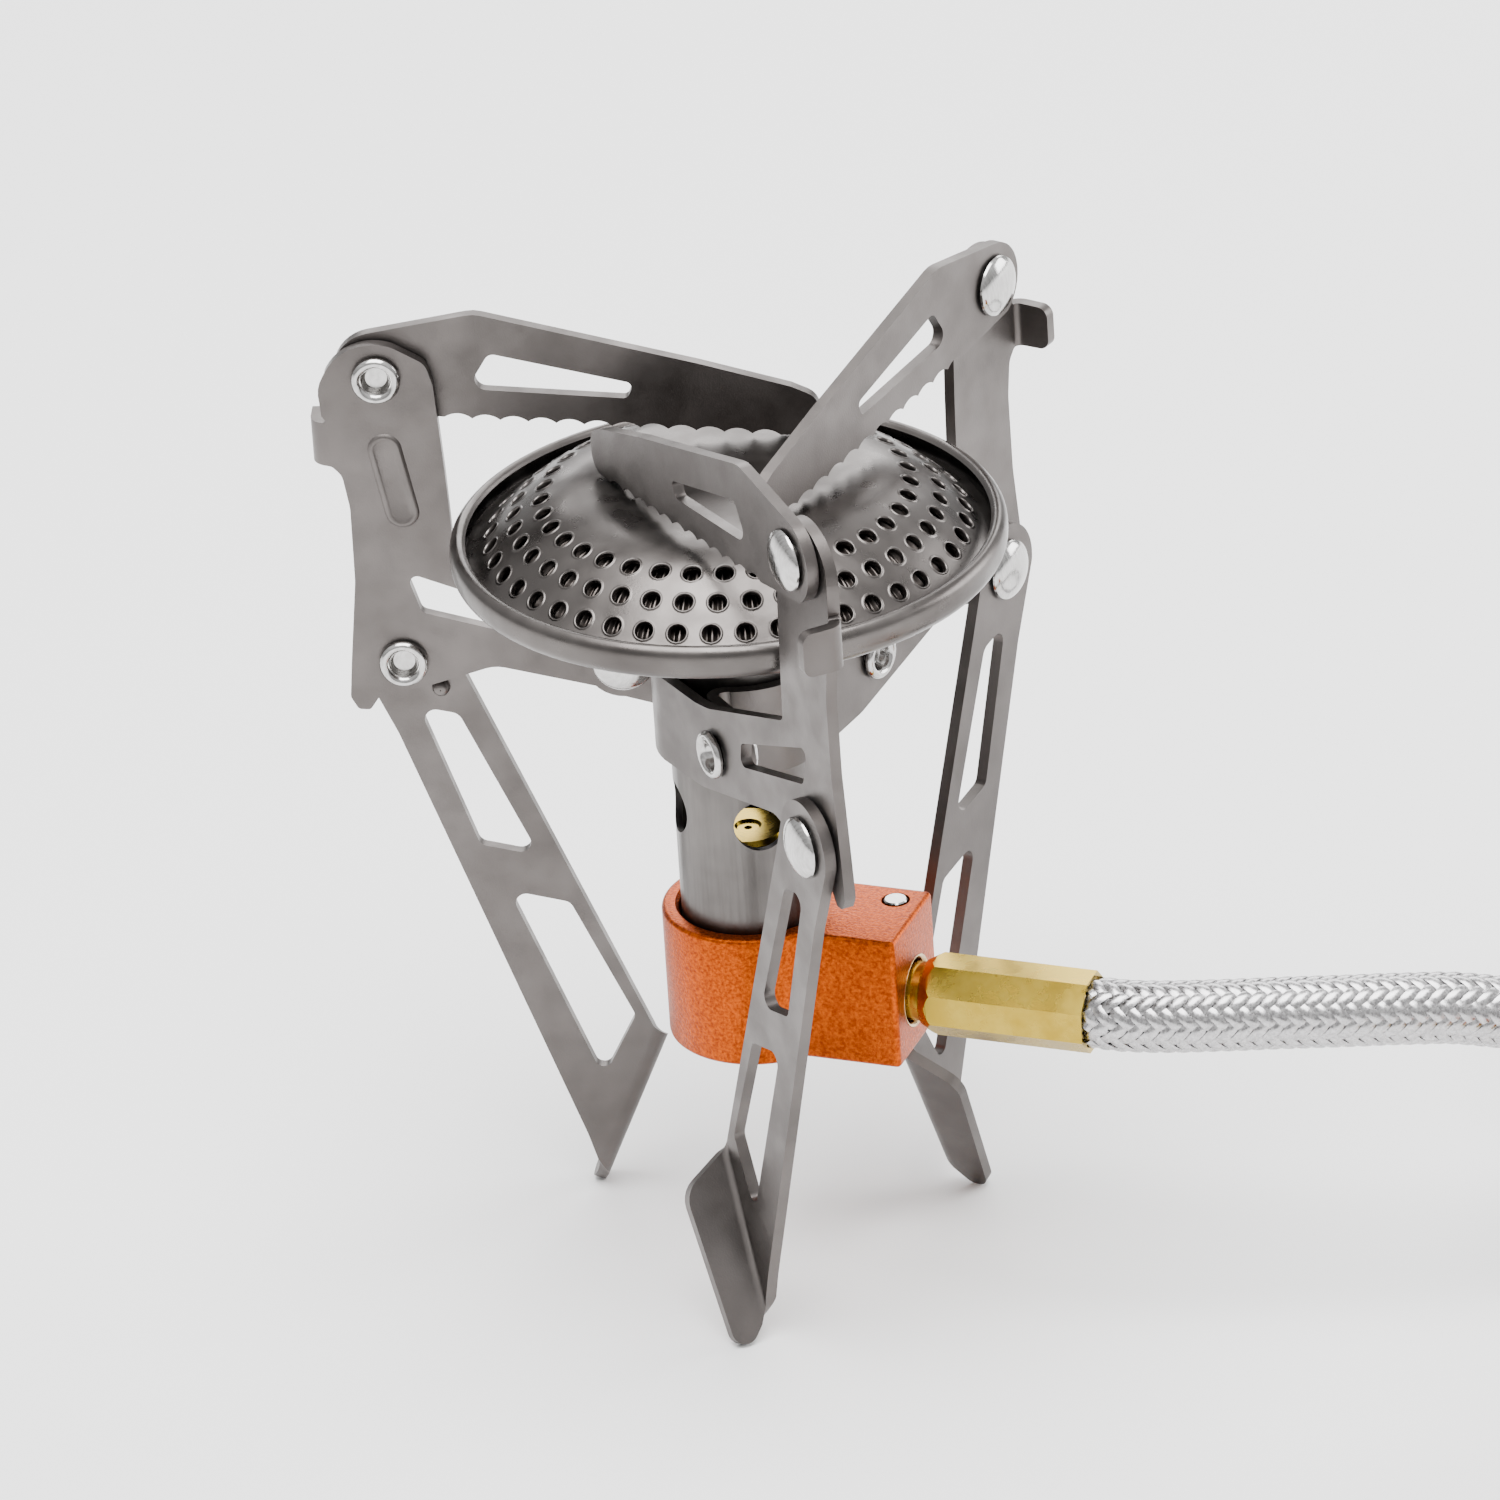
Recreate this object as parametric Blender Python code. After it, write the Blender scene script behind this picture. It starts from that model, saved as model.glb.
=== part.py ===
"""Folding remote-canister gas stove: a burner on three folding legs, with three folding pot arms.

Sizes are in millimetres, and a mesh is scaled to metres as it is made. The stove is built about the
burner's axis, with z = 0 at the leg pivots, and is then stood on the floor with its box centred on
the origin. Each sheet part is drawn flat as (s, z), s being the distance out from the burner's axis.
"""

import math

import bmesh
import bpy
from mathutils import Matrix, Vector, geometry

MM = 0.001
GAP = 0.3  # between pieces that touch or are cut by each other
ROUND = 24  # sides of a large round piece
SMALL_ROUND = 12  # sides of a rivet, a pin or a small bore

# Three identical units of plate, arm and leg stand round the mixing tube.
UNIT_ANGLES = (77, 197, 317)
SHEET = 1.3
BEND_RADIUS = 1.4

TUBE_RADIUS = 7.9
TUBE_WALL = 0.8
TUBE_TOP = 8.6
AIR_HOLE_RADIUS = 3.0
AIR_HOLE_Z = -13.3
AIR_HOLE_ANGLES = (33, 123, 213, 303)

RIM_RADIUS = 30.4
RIM_CLEARANCE = 0.9  # from the burner's rim to the plates' uprights
SHELL = 0.6
BURNER_Z = 16.0  # lowest point of the rim
PORT_RADIUS = 1.0
PORT_ROWS = ((10.3, 36), (7.2, 40), (4.5, 44))  # distance in from the rim, number of ports

UPRIGHT_INNER = RIM_RADIUS + RIM_CLEARANCE
LEG_PIVOT = (UPRIGHT_INNER + 6.1, 0.0)
ARM_PIVOT = (UPRIGHT_INNER + 6.75, 34.6)
LUG_REACH = 3.95  # from the end of the lug's bend to its rivet
LUG_Z = 0.2

RIVET_HEAD_RADIUS = 3.45
RIVET_HEAD_HEIGHT = 1.2
RIVET_SHANK_RADIUS = 2.0
RIVET_TAIL_RADIUS = 2.7
RIVET_TAIL_HEIGHT = 0.8

LEG_LOBE = 5.2
LEG_BEND_TOP = Vector((-24.5, -47.3))
LEG_BEND_END = Vector((-17.2, -64.0))
FOOT_ANGLE = math.radians(90)
FOOT_HEEL = (4.4, 7.4)  # along the bend from its top, and across it
FOOT_TOE = (24.8, 5.6)
PIP = (-3.7, -4.0)
PIP_RADIUS = 1.0
PIP_DEPTH = 0.5
PIP_HEIGHT = 1.6

ARM_LOBE = 4.8
ARM_LENGTH = 48.5
TOOTH_PITCH = 3.05
TOOTH_DEPTH = 0.55
TEETH_START = 7.0  # from the pivot
ARM_NOSE = 3.5  # plain end past the teeth
TOOTH_COUNT = int((ARM_LENGTH - TEETH_START - ARM_NOSE) / TOOTH_PITCH)

BLOCK_TOP = -26.2
BLOCK_HEIGHT = 15.6
BLOCK_ROUND_RADIUS = 10.1
BLOCK_HALF_WIDTH = 6.4
BLOCK_END = 18.7
BLOCK_EDGE = 0.5
RECESS_DEPTH = 5.0
JET_SEAT_DEPTH = 5.0
FITTING_BORE_START = 6.0
FITTING_CHAMFER = 0.8
FITTING_Z = -35.3
SPIGOT_RADIUS = 3.3
GROOVE_RADIUS = 1.8
GROOVE_X = 15.5
PIN_RADIUS = 1.3
PIN_ABOVE = 0.2  # over the block
PIN_BELOW = 5.5  # under the fitting's axis

JET_RADIUS = 4.5
JET_TOP = -17.1
JET_SHANK_RADIUS = 3.0
JET_SHANK = 4.0
PIN_HOLE_RADIUS = 0.6

FERRULE_FLATS = 8.5
FERRULE_START = 20.0
FERRULE_END = 39.3

HOSE_RADIUS = 4.0
HOSE_CLEARANCE = 0.1  # over the floor
HOSE_END_STEP = 2.5  # a short straight stretch at each end squares the caps
HOSE_STEP = 13.0  # spacing of the tube's points along the route
# Route of the hose from the mouth of its ferrule: it leaves along +X, drops to the floor, makes one
# loose turn, passes under itself and climbs to the canister valve.
HOSE_LEAD = (
    (0.3, 0.0, 0.0), (3.3, 0.0, 0.0), (7.7, 0.8, 0.0), (14.2, 2.6, -0.003), (20.4, 4.7, -0.003),
    (26.7, 6.9, 0.0), (32.7, 9.3, 0.007), (38.8, 11.9, 0.026), (48.0, 15.8, 0.11),
    (58.0, 20.0, 0.28), (67.5, 24.1, 0.48), (77.0, 28.2, 0.68), (86.5, 32.4, 0.86),
    (95.0, 36.3, 0.97),
)  # along, across, and share of the drop to the floor
HOSE_TURN_RADIUS = 44.0
HOSE_TURN_START = -66.0  # degrees round the turn's centre
HOSE_TURN = 280.0
HOSE_TURN_POINTS = 11
HOSE_TAIL = (
    (10.0, 0.0), (19.0, 0.9), (28.0, 3.7), (37.0, 7.8), (45.0, 10.4), (51.0, 11.2), (57.0, 11.2),
)  # distance past the turn, height above the floor stretch

VALVE_FERRULE_RADIUS = 5.2
VALVE_FERRULE_LENGTH = 14.0
VALVE_RADIUS = 9.0
VALVE_HEIGHT = 15.0
VALVE_EDGE = 2.5
VALVE_FLAT_DEPTH = 1.0
COLLAR_RADIUS = 12.0
COLLAR_HEIGHT = 9.5
THREAD_DEPTH = 7.0
THREAD_RADIUS = 5.6
SEAL_HEIGHT = 1.2
SPINDLE_RADIUS = 2.0
SPINDLE_SOCKET = 2.2
KNOB_RADIUS = 7.0
KNOB_LENGTH = 9.0
KNOB_CLEARANCE = 0.8  # past the collar
KNOB_RIBS = 12

# The stack of sheets beside the tube, as distances from the burner's axis.
PLATE_NEAR = TUBE_RADIUS + GAP
PLATE_FAR = PLATE_NEAR + SHEET
PLATE_MIDDLE = PLATE_NEAR + SHEET / 2
SWING_NEAR = PLATE_FAR + GAP
SWING_FAR = SWING_NEAR + SHEET
LUG_FAR = PLATE_NEAR - GAP
LUG_NEAR = LUG_FAR - SHEET
LUG_MIDDLE = LUG_FAR - SHEET / 2

# The collar wraps the tube and bends back, so that the lug lies along the neighbouring plate.
COLLAR_BEND_RADIUS = 1.8
COLLAR_SPREAD = math.acos((LUG_MIDDLE - COLLAR_BEND_RADIUS) / (PLATE_MIDDLE + COLLAR_BEND_RADIUS))
COLLAR_ANGLE = math.radians(120) - COLLAR_SPREAD
COLLAR_LENGTH = PLATE_MIDDLE * COLLAR_ANGLE
COLLAR_BACK = COLLAR_LENGTH + COLLAR_BEND_RADIUS * (COLLAR_ANGLE + math.radians(60))
LUG_PIVOT = ((PLATE_MIDDLE + COLLAR_BEND_RADIUS) * math.sin(COLLAR_SPREAD) + LUG_REACH, LUG_Z)


# ---------------------------------------------------------------- materials


def material(name, colour, roughness, metallic):
    made = bpy.data.materials.new(name)
    made.use_nodes = True
    shader = made.node_tree.nodes["Principled BSDF"]
    shader.inputs["Base Color"].default_value = (*colour, 1.0)
    shader.inputs["Roughness"].default_value = roughness
    shader.inputs["Metallic"].default_value = metallic
    return made


def titanium(name):
    return material(name, (0.36, 0.33, 0.31), 0.42, 1.0)


def polished_steel(name):
    return material(name, (0.72, 0.71, 0.70), 0.16, 1.0)


def orange_aluminium(name):
    return material(name, (0.85, 0.24, 0.02), 0.45, 0.7)


def brass(name):
    return material(name, (0.80, 0.60, 0.22), 0.28, 1.0)


def braided_steel(name):
    return material(name, (0.58, 0.58, 0.60), 0.35, 1.0)


def black_rubber(name):
    return material(name, (0.02, 0.02, 0.02), 0.7, 0.0)


# ---------------------------------------------------------------- helpers


def on_circle(radius, angle):
    return Vector((radius * math.cos(angle), radius * math.sin(angle)))


def rounded(corners, step=35):
    """Points of an outline of (s, z, fillet radius) corners, with each fillet as an arc."""
    points = []
    for index, (s, z, radius) in enumerate(corners):
        corner = Vector((s, z))
        before = Vector(corners[index - 1][:2]) - corner
        after = Vector(corners[(index + 1) % len(corners)][:2]) - corner
        angle = before.angle(after)
        if radius == 0 or math.pi - angle < math.radians(4):
            points.append(corner)
            continue
        tangent = min(radius / math.tan(angle / 2), before.length * 0.48, after.length * 0.48)
        fillet = tangent * math.tan(angle / 2)
        middle = (before.normalized() + after.normalized()).normalized()
        centre = corner + middle * (fillet / math.sin(angle / 2))
        first = corner + before.normalized() * tangent - centre
        last = corner + after.normalized() * tangent - centre
        count = max(1, round(math.degrees(math.pi - angle) / step))
        turn = first.angle_signed(last)
        for number in range(count + 1):
            points.append(centre + Matrix.Rotation(-turn * number / count, 2) @ first)
    return points


def arc(centre, radius, start, end, count):
    """Corners with no fillet along an arc, with the angles in degrees."""
    angles = [math.radians(start + (end - start) * number / count) for number in range(count + 1)]
    return [(*(Vector(centre) + on_circle(radius, angle)), 0) for angle in angles]


def circle(centre, radius, sides=SMALL_ROUND):
    return [
        Vector(centre) + on_circle(radius, math.tau * number / sides) for number in range(sides)
    ]


def sheet(outline, windows, near, far):
    """A flat sheet in the plane of X and Z, from y = -near to y = -far."""
    mesh = bmesh.new()
    edges = []
    for loop in [outline, *windows]:
        verts = [mesh.verts.new((s, -near, z)) for s, z in loop]
        edges += [mesh.edges.new((verts[i - 1], verts[i])) for i in range(len(verts))]
    bmesh.ops.triangle_fill(mesh, use_beauty=True, edges=edges)
    grown = bmesh.ops.extrude_face_region(mesh, geom=mesh.faces[:])
    verts = [item for item in grown["geom"] if isinstance(item, bmesh.types.BMVert)]
    bmesh.ops.translate(mesh, verts=verts, vec=(0, near - far, 0))
    return mesh


def slice_along(mesh, point, normal, distances):
    """Cuts the mesh along lines across the sheet, so that it can bend there."""
    for distance in distances:
        bmesh.ops.bisect_plane(
            mesh,
            geom=mesh.verts[:] + mesh.edges[:] + mesh.faces[:],
            dist=1e-5,
            plane_co=Vector(point) + Vector(normal) * distance,
            plane_no=normal,
        )


def fold(mesh, point, along, angle, middle, segments=3):
    """Bends what lies beyond a line in the sheet away from the tube.

    The line runs through point, along is the direction across it within the sheet, and middle is
    the y of the sheet's middle surface.
    """
    length = BEND_RADIUS * angle
    slice_along(mesh, point, along, [length * number / segments for number in range(segments + 1)])
    outward = Vector((0, -1, 0))
    for vert in mesh.verts:
        past = (vert.co - point).dot(along)
        if past <= 0:
            continue
        turned = angle * min(past / length, 1)
        rest = max(past - length, 0)
        offset = -(vert.co.y - middle)
        flat = BEND_RADIUS * math.sin(turned) + rest * math.cos(turned) - offset * math.sin(turned)
        rise = BEND_RADIUS * (1 - math.cos(turned)) + rest * math.sin(turned)
        rise += offset * math.cos(turned) - offset
        vert.co += along * (flat - past) + outward * rise


def wrap_collar(mesh):
    """Wraps the part of a plate at s < 0 round the tube, and bends its lug back."""
    stations = [COLLAR_LENGTH * number / 5 for number in range(6)]
    back = COLLAR_BACK - COLLAR_LENGTH
    stations += [COLLAR_LENGTH + back * number / 5 for number in range(1, 6)]
    slice_along(mesh, (0, 0, 0), (-1, 0, 0), stations)
    turn_centre = -(PLATE_MIDDLE + COLLAR_BEND_RADIUS) * Vector(
        (math.sin(COLLAR_ANGLE), math.cos(COLLAR_ANGLE))
    )
    for vert in mesh.verts:
        distance = -vert.co.x
        if distance <= 0:
            continue
        offset = -vert.co.y - PLATE_MIDDLE
        if distance <= COLLAR_LENGTH:
            angle = distance / PLATE_MIDDLE
            place = -(PLATE_MIDDLE + offset) * Vector((math.sin(angle), math.cos(angle)))
        else:
            past = min(distance, COLLAR_BACK) - COLLAR_LENGTH
            angle = COLLAR_ANGLE - past / COLLAR_BEND_RADIUS
            outward = Vector((math.sin(angle), math.cos(angle)))
            place = turn_centre + (COLLAR_BEND_RADIUS - offset) * outward
            ahead = Vector((-math.cos(angle), math.sin(angle)))
            place += ahead * max(distance - COLLAR_BACK, 0)
        vert.co.x, vert.co.y = place


def turned(profile, steps=ROUND):
    """A body turned about Z from a closed profile of (radius, z) points."""
    mesh = bmesh.new()
    rings = []
    for radius, z in profile:
        if radius < 1e-6:
            rings.append([mesh.verts.new((0, 0, z))] * steps)
            continue
        angles = [math.tau * number / steps for number in range(steps)]
        rings.append([mesh.verts.new((*on_circle(radius, angle), z)) for angle in angles])
    for ring, following in zip(rings, rings[1:] + rings[:1]):
        for number in range(steps):
            after = (number + 1) % steps
            corners = [ring[number], ring[after], following[after], following[number]]
            corners = list(dict.fromkeys(corners))
            if len(corners) > 2:
                mesh.faces.new(corners)
    return mesh


def shell_profile(points, thickness):
    """A closed profile: the outer line of (radius, z) points, and the same line set back."""
    line = [Vector(point) for point in points]
    inner = []
    for index, point in enumerate(line):
        before = line[max(index - 1, 0)]
        after = line[min(index + 1, len(line) - 1)]
        direction = (after - before).normalized()
        side = Vector((-direction.y, direction.x))
        set_back = point + side * thickness
        inner.append(Vector((max(set_back.x, 0), set_back.y)))
        if point.x < 1e-6:
            inner[-1].x = 0
    return line + inner[::-1]


def set_in(outline, distance):
    """A counter-clockwise outline moved inward by a distance."""
    moved = []
    for index, point in enumerate(outline):
        before = (point - outline[index - 1]).normalized()
        after = (outline[(index + 1) % len(outline)] - point).normalized()
        side = Vector((-before.y - after.y, before.x + after.x)).normalized()
        moved.append(point + side * distance / side.dot(Vector((-before.y, before.x))))
    return moved


def loft(sections):
    """A closed body through upright sections, each a list of (x, y) points and its height."""
    mesh = bmesh.new()
    rings = [[mesh.verts.new((x, y, height)) for x, y in points] for points, height in sections]
    mesh.faces.new(rings[0])
    mesh.faces.new(rings[-1])
    for ring, following in zip(rings, rings[1:]):
        for i in range(len(ring)):
            mesh.faces.new((ring[i - 1], ring[i], following[i], following[i - 1]))
    return mesh


def prism(outline, bottom, top):
    """An upright solid over an outline of (x, y) points."""
    return loft([(outline, bottom), (outline, top)])


def join(meshes):
    whole = bmesh.new()
    for mesh in meshes:
        bmesh.ops.recalc_face_normals(mesh, faces=mesh.faces[:])
        loose = bpy.data.meshes.new("loose")
        mesh.to_mesh(loose)
        whole.from_mesh(loose)
        bpy.data.meshes.remove(loose)
        mesh.free()
    return whole


def turn_mesh(mesh, matrix):
    bmesh.ops.transform(mesh, matrix=matrix, verts=mesh.verts[:])
    return mesh


def along_x(mesh, height):
    """Lays a turned body's axis along +X at a height."""
    tilt = Matrix.Rotation(math.radians(90), 4, "Y")
    return turn_mesh(mesh, Matrix.Translation((0, 0, height)) @ tilt)


def add_object(name, mesh, finish=None, parent=None, at=(0, 0, 0)):
    """Makes the object, with its origin at a point given in its parent's frame."""
    bmesh.ops.translate(mesh, verts=mesh.verts[:], vec=-Vector(at))
    bmesh.ops.remove_doubles(mesh, verts=mesh.verts[:], dist=1e-4)
    bmesh.ops.recalc_face_normals(mesh, faces=mesh.faces[:])
    bmesh.ops.scale(mesh, verts=mesh.verts[:], vec=(MM, MM, MM))
    data = bpy.data.meshes.new(name)
    mesh.to_mesh(data)
    mesh.free()
    data.shade_smooth()
    data.set_sharp_from_angle(angle=math.radians(35))
    made = bpy.data.objects.new(name, data)
    bpy.context.scene.collection.objects.link(made)
    made.location = Vector(at) * MM
    made.parent = parent
    if finish:
        data.materials.append(finish(name + "_finish"))
    return made


def combine(target, name, meshes, operation="DIFFERENCE"):
    """Cuts meshes, given in the frame of the target's parent, out of the target, or adds them."""
    helper = add_object(name, join(meshes), parent=target.parent, at=target.location / MM)
    helper.hide_render = True
    helper.display_type = "WIRE"
    boolean = target.modifiers.new(name, "BOOLEAN")
    boolean.operation = operation
    boolean.solver = "EXACT"
    boolean.object = helper


def add_empty(name, parent, at=(0, 0, 0), angle=0):
    made = bpy.data.objects.new(name, None)
    bpy.context.scene.collection.objects.link(made)
    made.parent = parent
    made.location = Vector(at) * MM
    made.rotation_euler.z = math.radians(angle)
    return made


# ---------------------------------------------------------------- plates, arms and legs


def plate_outline():
    """The unrolled plate: lug and collar at s < 0, then the inner arm, upright and tab."""
    lug = -(COLLAR_BACK + LUG_REACH)
    inner = UPRIGHT_INNER
    low_s = LEG_PIVOT[0]
    high_s, high_z = ARM_PIVOT
    tab = inner + 12.4
    tab_end = tab + BEND_RADIUS * math.radians(90) + 3.3
    below = [
        (-COLLAR_BACK, -5.4, 2), (-COLLAR_LENGTH, -6.3, 2), (0, -6.3, 0),
        (9.6, -5.4, 6), (inner - 12.8, -3.1, 0), (inner - 3.9, -0.8, 4),
        (low_s - 3.05, -2.9, 3), (low_s + 3.0, -4.2, 1), (low_s + 4.1, -5.8, 0.5),
        (low_s + 5.4, -5.7, 0.6), (low_s + 6.2, -4.2, 1), (low_s + 5.8, 0, 6),
        (low_s + 4.7, 10, 12), (low_s + 4.6, 19, 6), (low_s + 5.2, high_z - 11.6, 2),
        (tab, high_z - 10.4, 1), (tab_end, high_z - 10.2, 1.2), (tab_end, high_z - 5.2, 1.2),
        (tab, high_z - 5.2, 0.8), (high_s + 6.1, high_z - 4.4, 0.6),
    ]
    top = arc((high_s + 0.25, high_z - 1.9), 6, -8, 112, 6)
    above = [
        (inner + 1.3, high_z + 1.6, 2), (inner + 0.6, high_z - 1, 1.5), (inner, 23, 8),
        (inner - 0.4, 11.9, 1), (12.1, 5.2, 10), (8.9, 4.6, 4), (0, 4.0, 0),
        (-COLLAR_LENGTH, 4.2, 2), (-COLLAR_BACK, LUG_Z + 4.4, 2),
    ]
    end = arc((lug, LUG_Z), 4.4, 90, 270, 6)
    return rounded(below + top + above + end)


def plate_windows():
    low_s = LEG_PIVOT[0]
    inner_arm = [
        (low_s - 0.9, 11.0, 0.8), (low_s - 2.4, 6.0, 1), (19.5, 1.4, 0.8), (20.0, 4.4, 0.8),
    ]
    lug_hole = -(COLLAR_BACK + LUG_REACH)
    hole = RIVET_SHANK_RADIUS + GAP
    centres = ((lug_hole, LUG_Z), LUG_PIVOT, LEG_PIVOT, ARM_PIVOT)
    return [rounded(inner_arm), *(circle(centre, hole) for centre in centres)]


def make_plate(unit, number):
    mesh = sheet(plate_outline(), plate_windows(), PLATE_NEAR, PLATE_FAR)
    tab = Vector((UPRIGHT_INNER + 12.4, -PLATE_MIDDLE, 0))
    fold(mesh, tab, Vector((1, 0, 0)), math.radians(90), -PLATE_MIDDLE)
    wrap_collar(mesh)
    return add_object(f"support_plate_{number}", mesh, titanium, unit)


def rivet_profile(stack):
    """A domed head below z = 0 and a rolled tail past the stack of sheets."""
    head, high, shank = RIVET_HEAD_RADIUS, RIVET_HEAD_HEIGHT, RIVET_SHANK_RADIUS
    tail, tall = RIVET_TAIL_RADIUS, RIVET_TAIL_HEIGHT
    return [
        (0, -high), (head * 0.65, -high * 0.8), (head, -high * 0.25),
        (head, 0), (shank, 0), (shank, stack), (tail, stack), (tail * 0.85, stack + tall),
        (tail * 0.6, stack + tall * 0.7), (tail * 0.45, stack - tall), (0, stack - tall),
    ]


def make_rivet(parent, name, near, far, pivot, head_far):
    """A rivet across the sheets from near to far, with its head on the side named."""
    stack = far - near + 2 * GAP
    mesh = turned(rivet_profile(stack), SMALL_ROUND)
    if head_far:
        place = Matrix.Translation((pivot[0], -far - GAP, pivot[1]))
        turn = Matrix.Rotation(math.radians(-90), 4, "X")
    else:
        place = Matrix.Translation((pivot[0], -near + GAP, pivot[1]))
        turn = Matrix.Rotation(math.radians(90), 4, "X")
    turn_mesh(mesh, place @ turn)
    return add_object(name, mesh, polished_steel, parent)


def leg_outline():
    bend = LEG_BEND_END - LEG_BEND_TOP
    along = bend.normalized()
    away = Vector((along.y, -along.x))
    heel = LEG_BEND_TOP + along * FOOT_HEEL[0] + away * FOOT_HEEL[1]
    toe = LEG_BEND_TOP + along * FOOT_TOE[0] + away * FOOT_TOE[1]
    lobe = arc((0, 0), LEG_LOBE, -12, 168, 8)
    return rounded(
        [
            (1.4, -9.6, 8), *lobe, (-6.8, -3.4, 3), (*LEG_BEND_TOP, 0.6), (*heel, 3),
            (*toe, 1.6), (*LEG_BEND_END, 0.8), (-16.3, -60.8, 2),
        ]
    )


def leg_windows():
    upper = [(-1.0, -6.4, 1.5), (-5.4, -7.4, 1.5), (-13.2, -25.4, 1.2), (-6.7, -23.8, 1.2)]
    lower = [(-9.4, -29.6, 1.2), (-16.2, -31.3, 1.2), (-22.6, -45.8, 1.2), (-18.5, -53.6, 1)]
    return [rounded(upper), rounded(lower), circle((0, 0), RIVET_SHANK_RADIUS + GAP)]


def make_leg(unit, number):
    mesh = sheet(leg_outline(), leg_windows(), SWING_NEAR, SWING_FAR)
    middle = -(SWING_NEAR + SHEET / 2)
    along = (LEG_BEND_END - LEG_BEND_TOP).normalized()
    away = Vector((along.y, 0, -along.x))
    line = Vector((LEG_BEND_TOP.x, middle, LEG_BEND_TOP.y))
    fold(mesh, line, away, FOOT_ANGLE, middle)
    turn_mesh(mesh, Matrix.Translation((LEG_PIVOT[0], 0, LEG_PIVOT[1])))
    at = (LEG_PIVOT[0], -SWING_NEAR, LEG_PIVOT[1])
    leg = add_object(f"leg_{number}", mesh, titanium, unit, at)
    pip = turned(
        [(0, 0), (PIP_RADIUS, 0), (PIP_RADIUS, PIP_HEIGHT), (0, PIP_HEIGHT)], SMALL_ROUND
    )
    turn_mesh(pip, Matrix.Rotation(math.radians(-90), 4, "X"))
    place = (LEG_PIVOT[0] + PIP[0], -SWING_NEAR - PIP_DEPTH, LEG_PIVOT[1] + PIP[1])
    turn_mesh(pip, Matrix.Translation(place))
    combine(leg, f"pip_guide_{number}", [pip], "UNION")


def arm_outline():
    """The arm with its serrated edge, which faces up once the arm is swung out."""
    teeth = []
    half = TOOTH_PITCH / 2
    tip = -(ARM_LENGTH - ARM_NOSE)
    for tooth in range(TOOTH_COUNT, 0, -1):
        start = -TEETH_START - TOOTH_PITCH * tooth
        for step, depth in ((0, 0), (0.6, 0.7), (1, 1), (1.4, 0.7)):
            s = start + half * step
            teeth.append((s, -5.0 + 0.09 * s + TOOTH_DEPTH * depth, 0))
    lobe = arc((0, 0), ARM_LOBE, -60, 80, 6)
    end = [(tip, -3.1, 1), (-ARM_LENGTH + 0.4, -4.6, 2.2), (-ARM_LENGTH + 0.6, -9.0, 2.4)]
    return rounded(
        teeth + [(-TEETH_START, -5.6, 0.5)] + lobe + [(-10.9, 6.7, 4), (-35.0, 0.0, 0)] + end
    )


def arm_windows():
    taper = [(-12.3, 1.9, 1.0), (-27.9, -2.2, 0.7), (-27.2, -4.0, 0.7), (-9.7, -2.3, 1.3)]
    return [rounded(taper), circle((0, 0), RIVET_SHANK_RADIUS + GAP)]


def make_arm(unit, number):
    mesh = sheet(arm_outline(), arm_windows(), SWING_NEAR, SWING_FAR)
    turn_mesh(mesh, Matrix.Translation((ARM_PIVOT[0], 0, ARM_PIVOT[1])))
    at = (ARM_PIVOT[0], -SWING_NEAR, ARM_PIVOT[1])
    return add_object(f"pot_arm_{number}", mesh, titanium, unit, at)


def make_units(stove):
    for number, angle in enumerate(UNIT_ANGLES, 1):
        unit = add_empty(f"unit_{number}", stove, angle=angle)
        make_plate(unit, number)
        make_arm(unit, number)
        make_leg(unit, number)
        make_rivet(unit, f"arm_rivet_{number}", PLATE_NEAR, SWING_FAR, ARM_PIVOT, True)
        make_rivet(unit, f"leg_rivet_{number}", PLATE_NEAR, SWING_FAR, LEG_PIVOT, True)
        make_rivet(unit, f"plate_rivet_{number}", LUG_NEAR, PLATE_FAR, LUG_PIVOT, False)


# ---------------------------------------------------------------- burner, tube and jet


def dome_height(inset):
    """Height of the dome above the rim's underside, by distance in from the rim."""
    line = (
        (1.6, 1.5), (1.7, 1.9), (2.8, 2.2), (4.5, 3.7), (7.2, 6.1), (10.3, 8.0), (13.4, 9.1),
        (15.4, 9.3),
    )
    for (near, low), (far, high) in zip(line, line[1:]):
        if near <= inset <= far:
            return low + (high - low) * (inset - near) / (far - near)
    return line[-1][1]


def make_head(stove):
    insets = (1.6, 1.7, 2.8, 4.5, 7.2, 10.3, 13.4, 15.4, RIM_RADIUS)
    line = [(RIM_RADIUS - inset, BURNER_Z + dome_height(inset)) for inset in insets]
    head = add_object("burner_head", turned(shell_profile(line, SHELL)), titanium, stove)
    cutters = []
    for inset, count in PORT_ROWS:
        radius = RIM_RADIUS - inset
        height = BURNER_Z + dome_height(inset)
        slope = (dome_height(inset + 1) - dome_height(inset - 1)) / 2
        for number in range(count):
            port = prism(circle((0, 0), PORT_RADIUS, 6), -1.6, 1.6)
            tilt = Matrix.Rotation(math.atan(slope), 4, "Y")
            place = Matrix.Translation((radius, 0, height)) @ tilt
            turn = Matrix.Rotation(math.tau * number / count, 4, "Z")
            cutters.append(turn_mesh(port, turn @ place))
    combine(head, "port_cutter", cutters)


def make_bowl(stove):
    neck = TUBE_RADIUS + GAP + SHELL
    rim = RIM_RADIUS
    line = [
        (neck, BURNER_Z - 9.6), (neck, BURNER_Z - 7.6), (neck + 1.6, BURNER_Z - 6.7),
        (rim - 10, BURNER_Z - 3.0), (rim - 3.0, BURNER_Z - 0.5), (rim - 1.0, BURNER_Z + 0.1),
        (rim - 0.2, BURNER_Z + 0.9), (rim, BURNER_Z + 1.8), (rim - 0.1, BURNER_Z + 3.2),
        (rim - 0.7, BURNER_Z + 3.9),
    ]
    add_object("burner_bowl", turned(shell_profile(line, SHELL)), titanium, stove)


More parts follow.
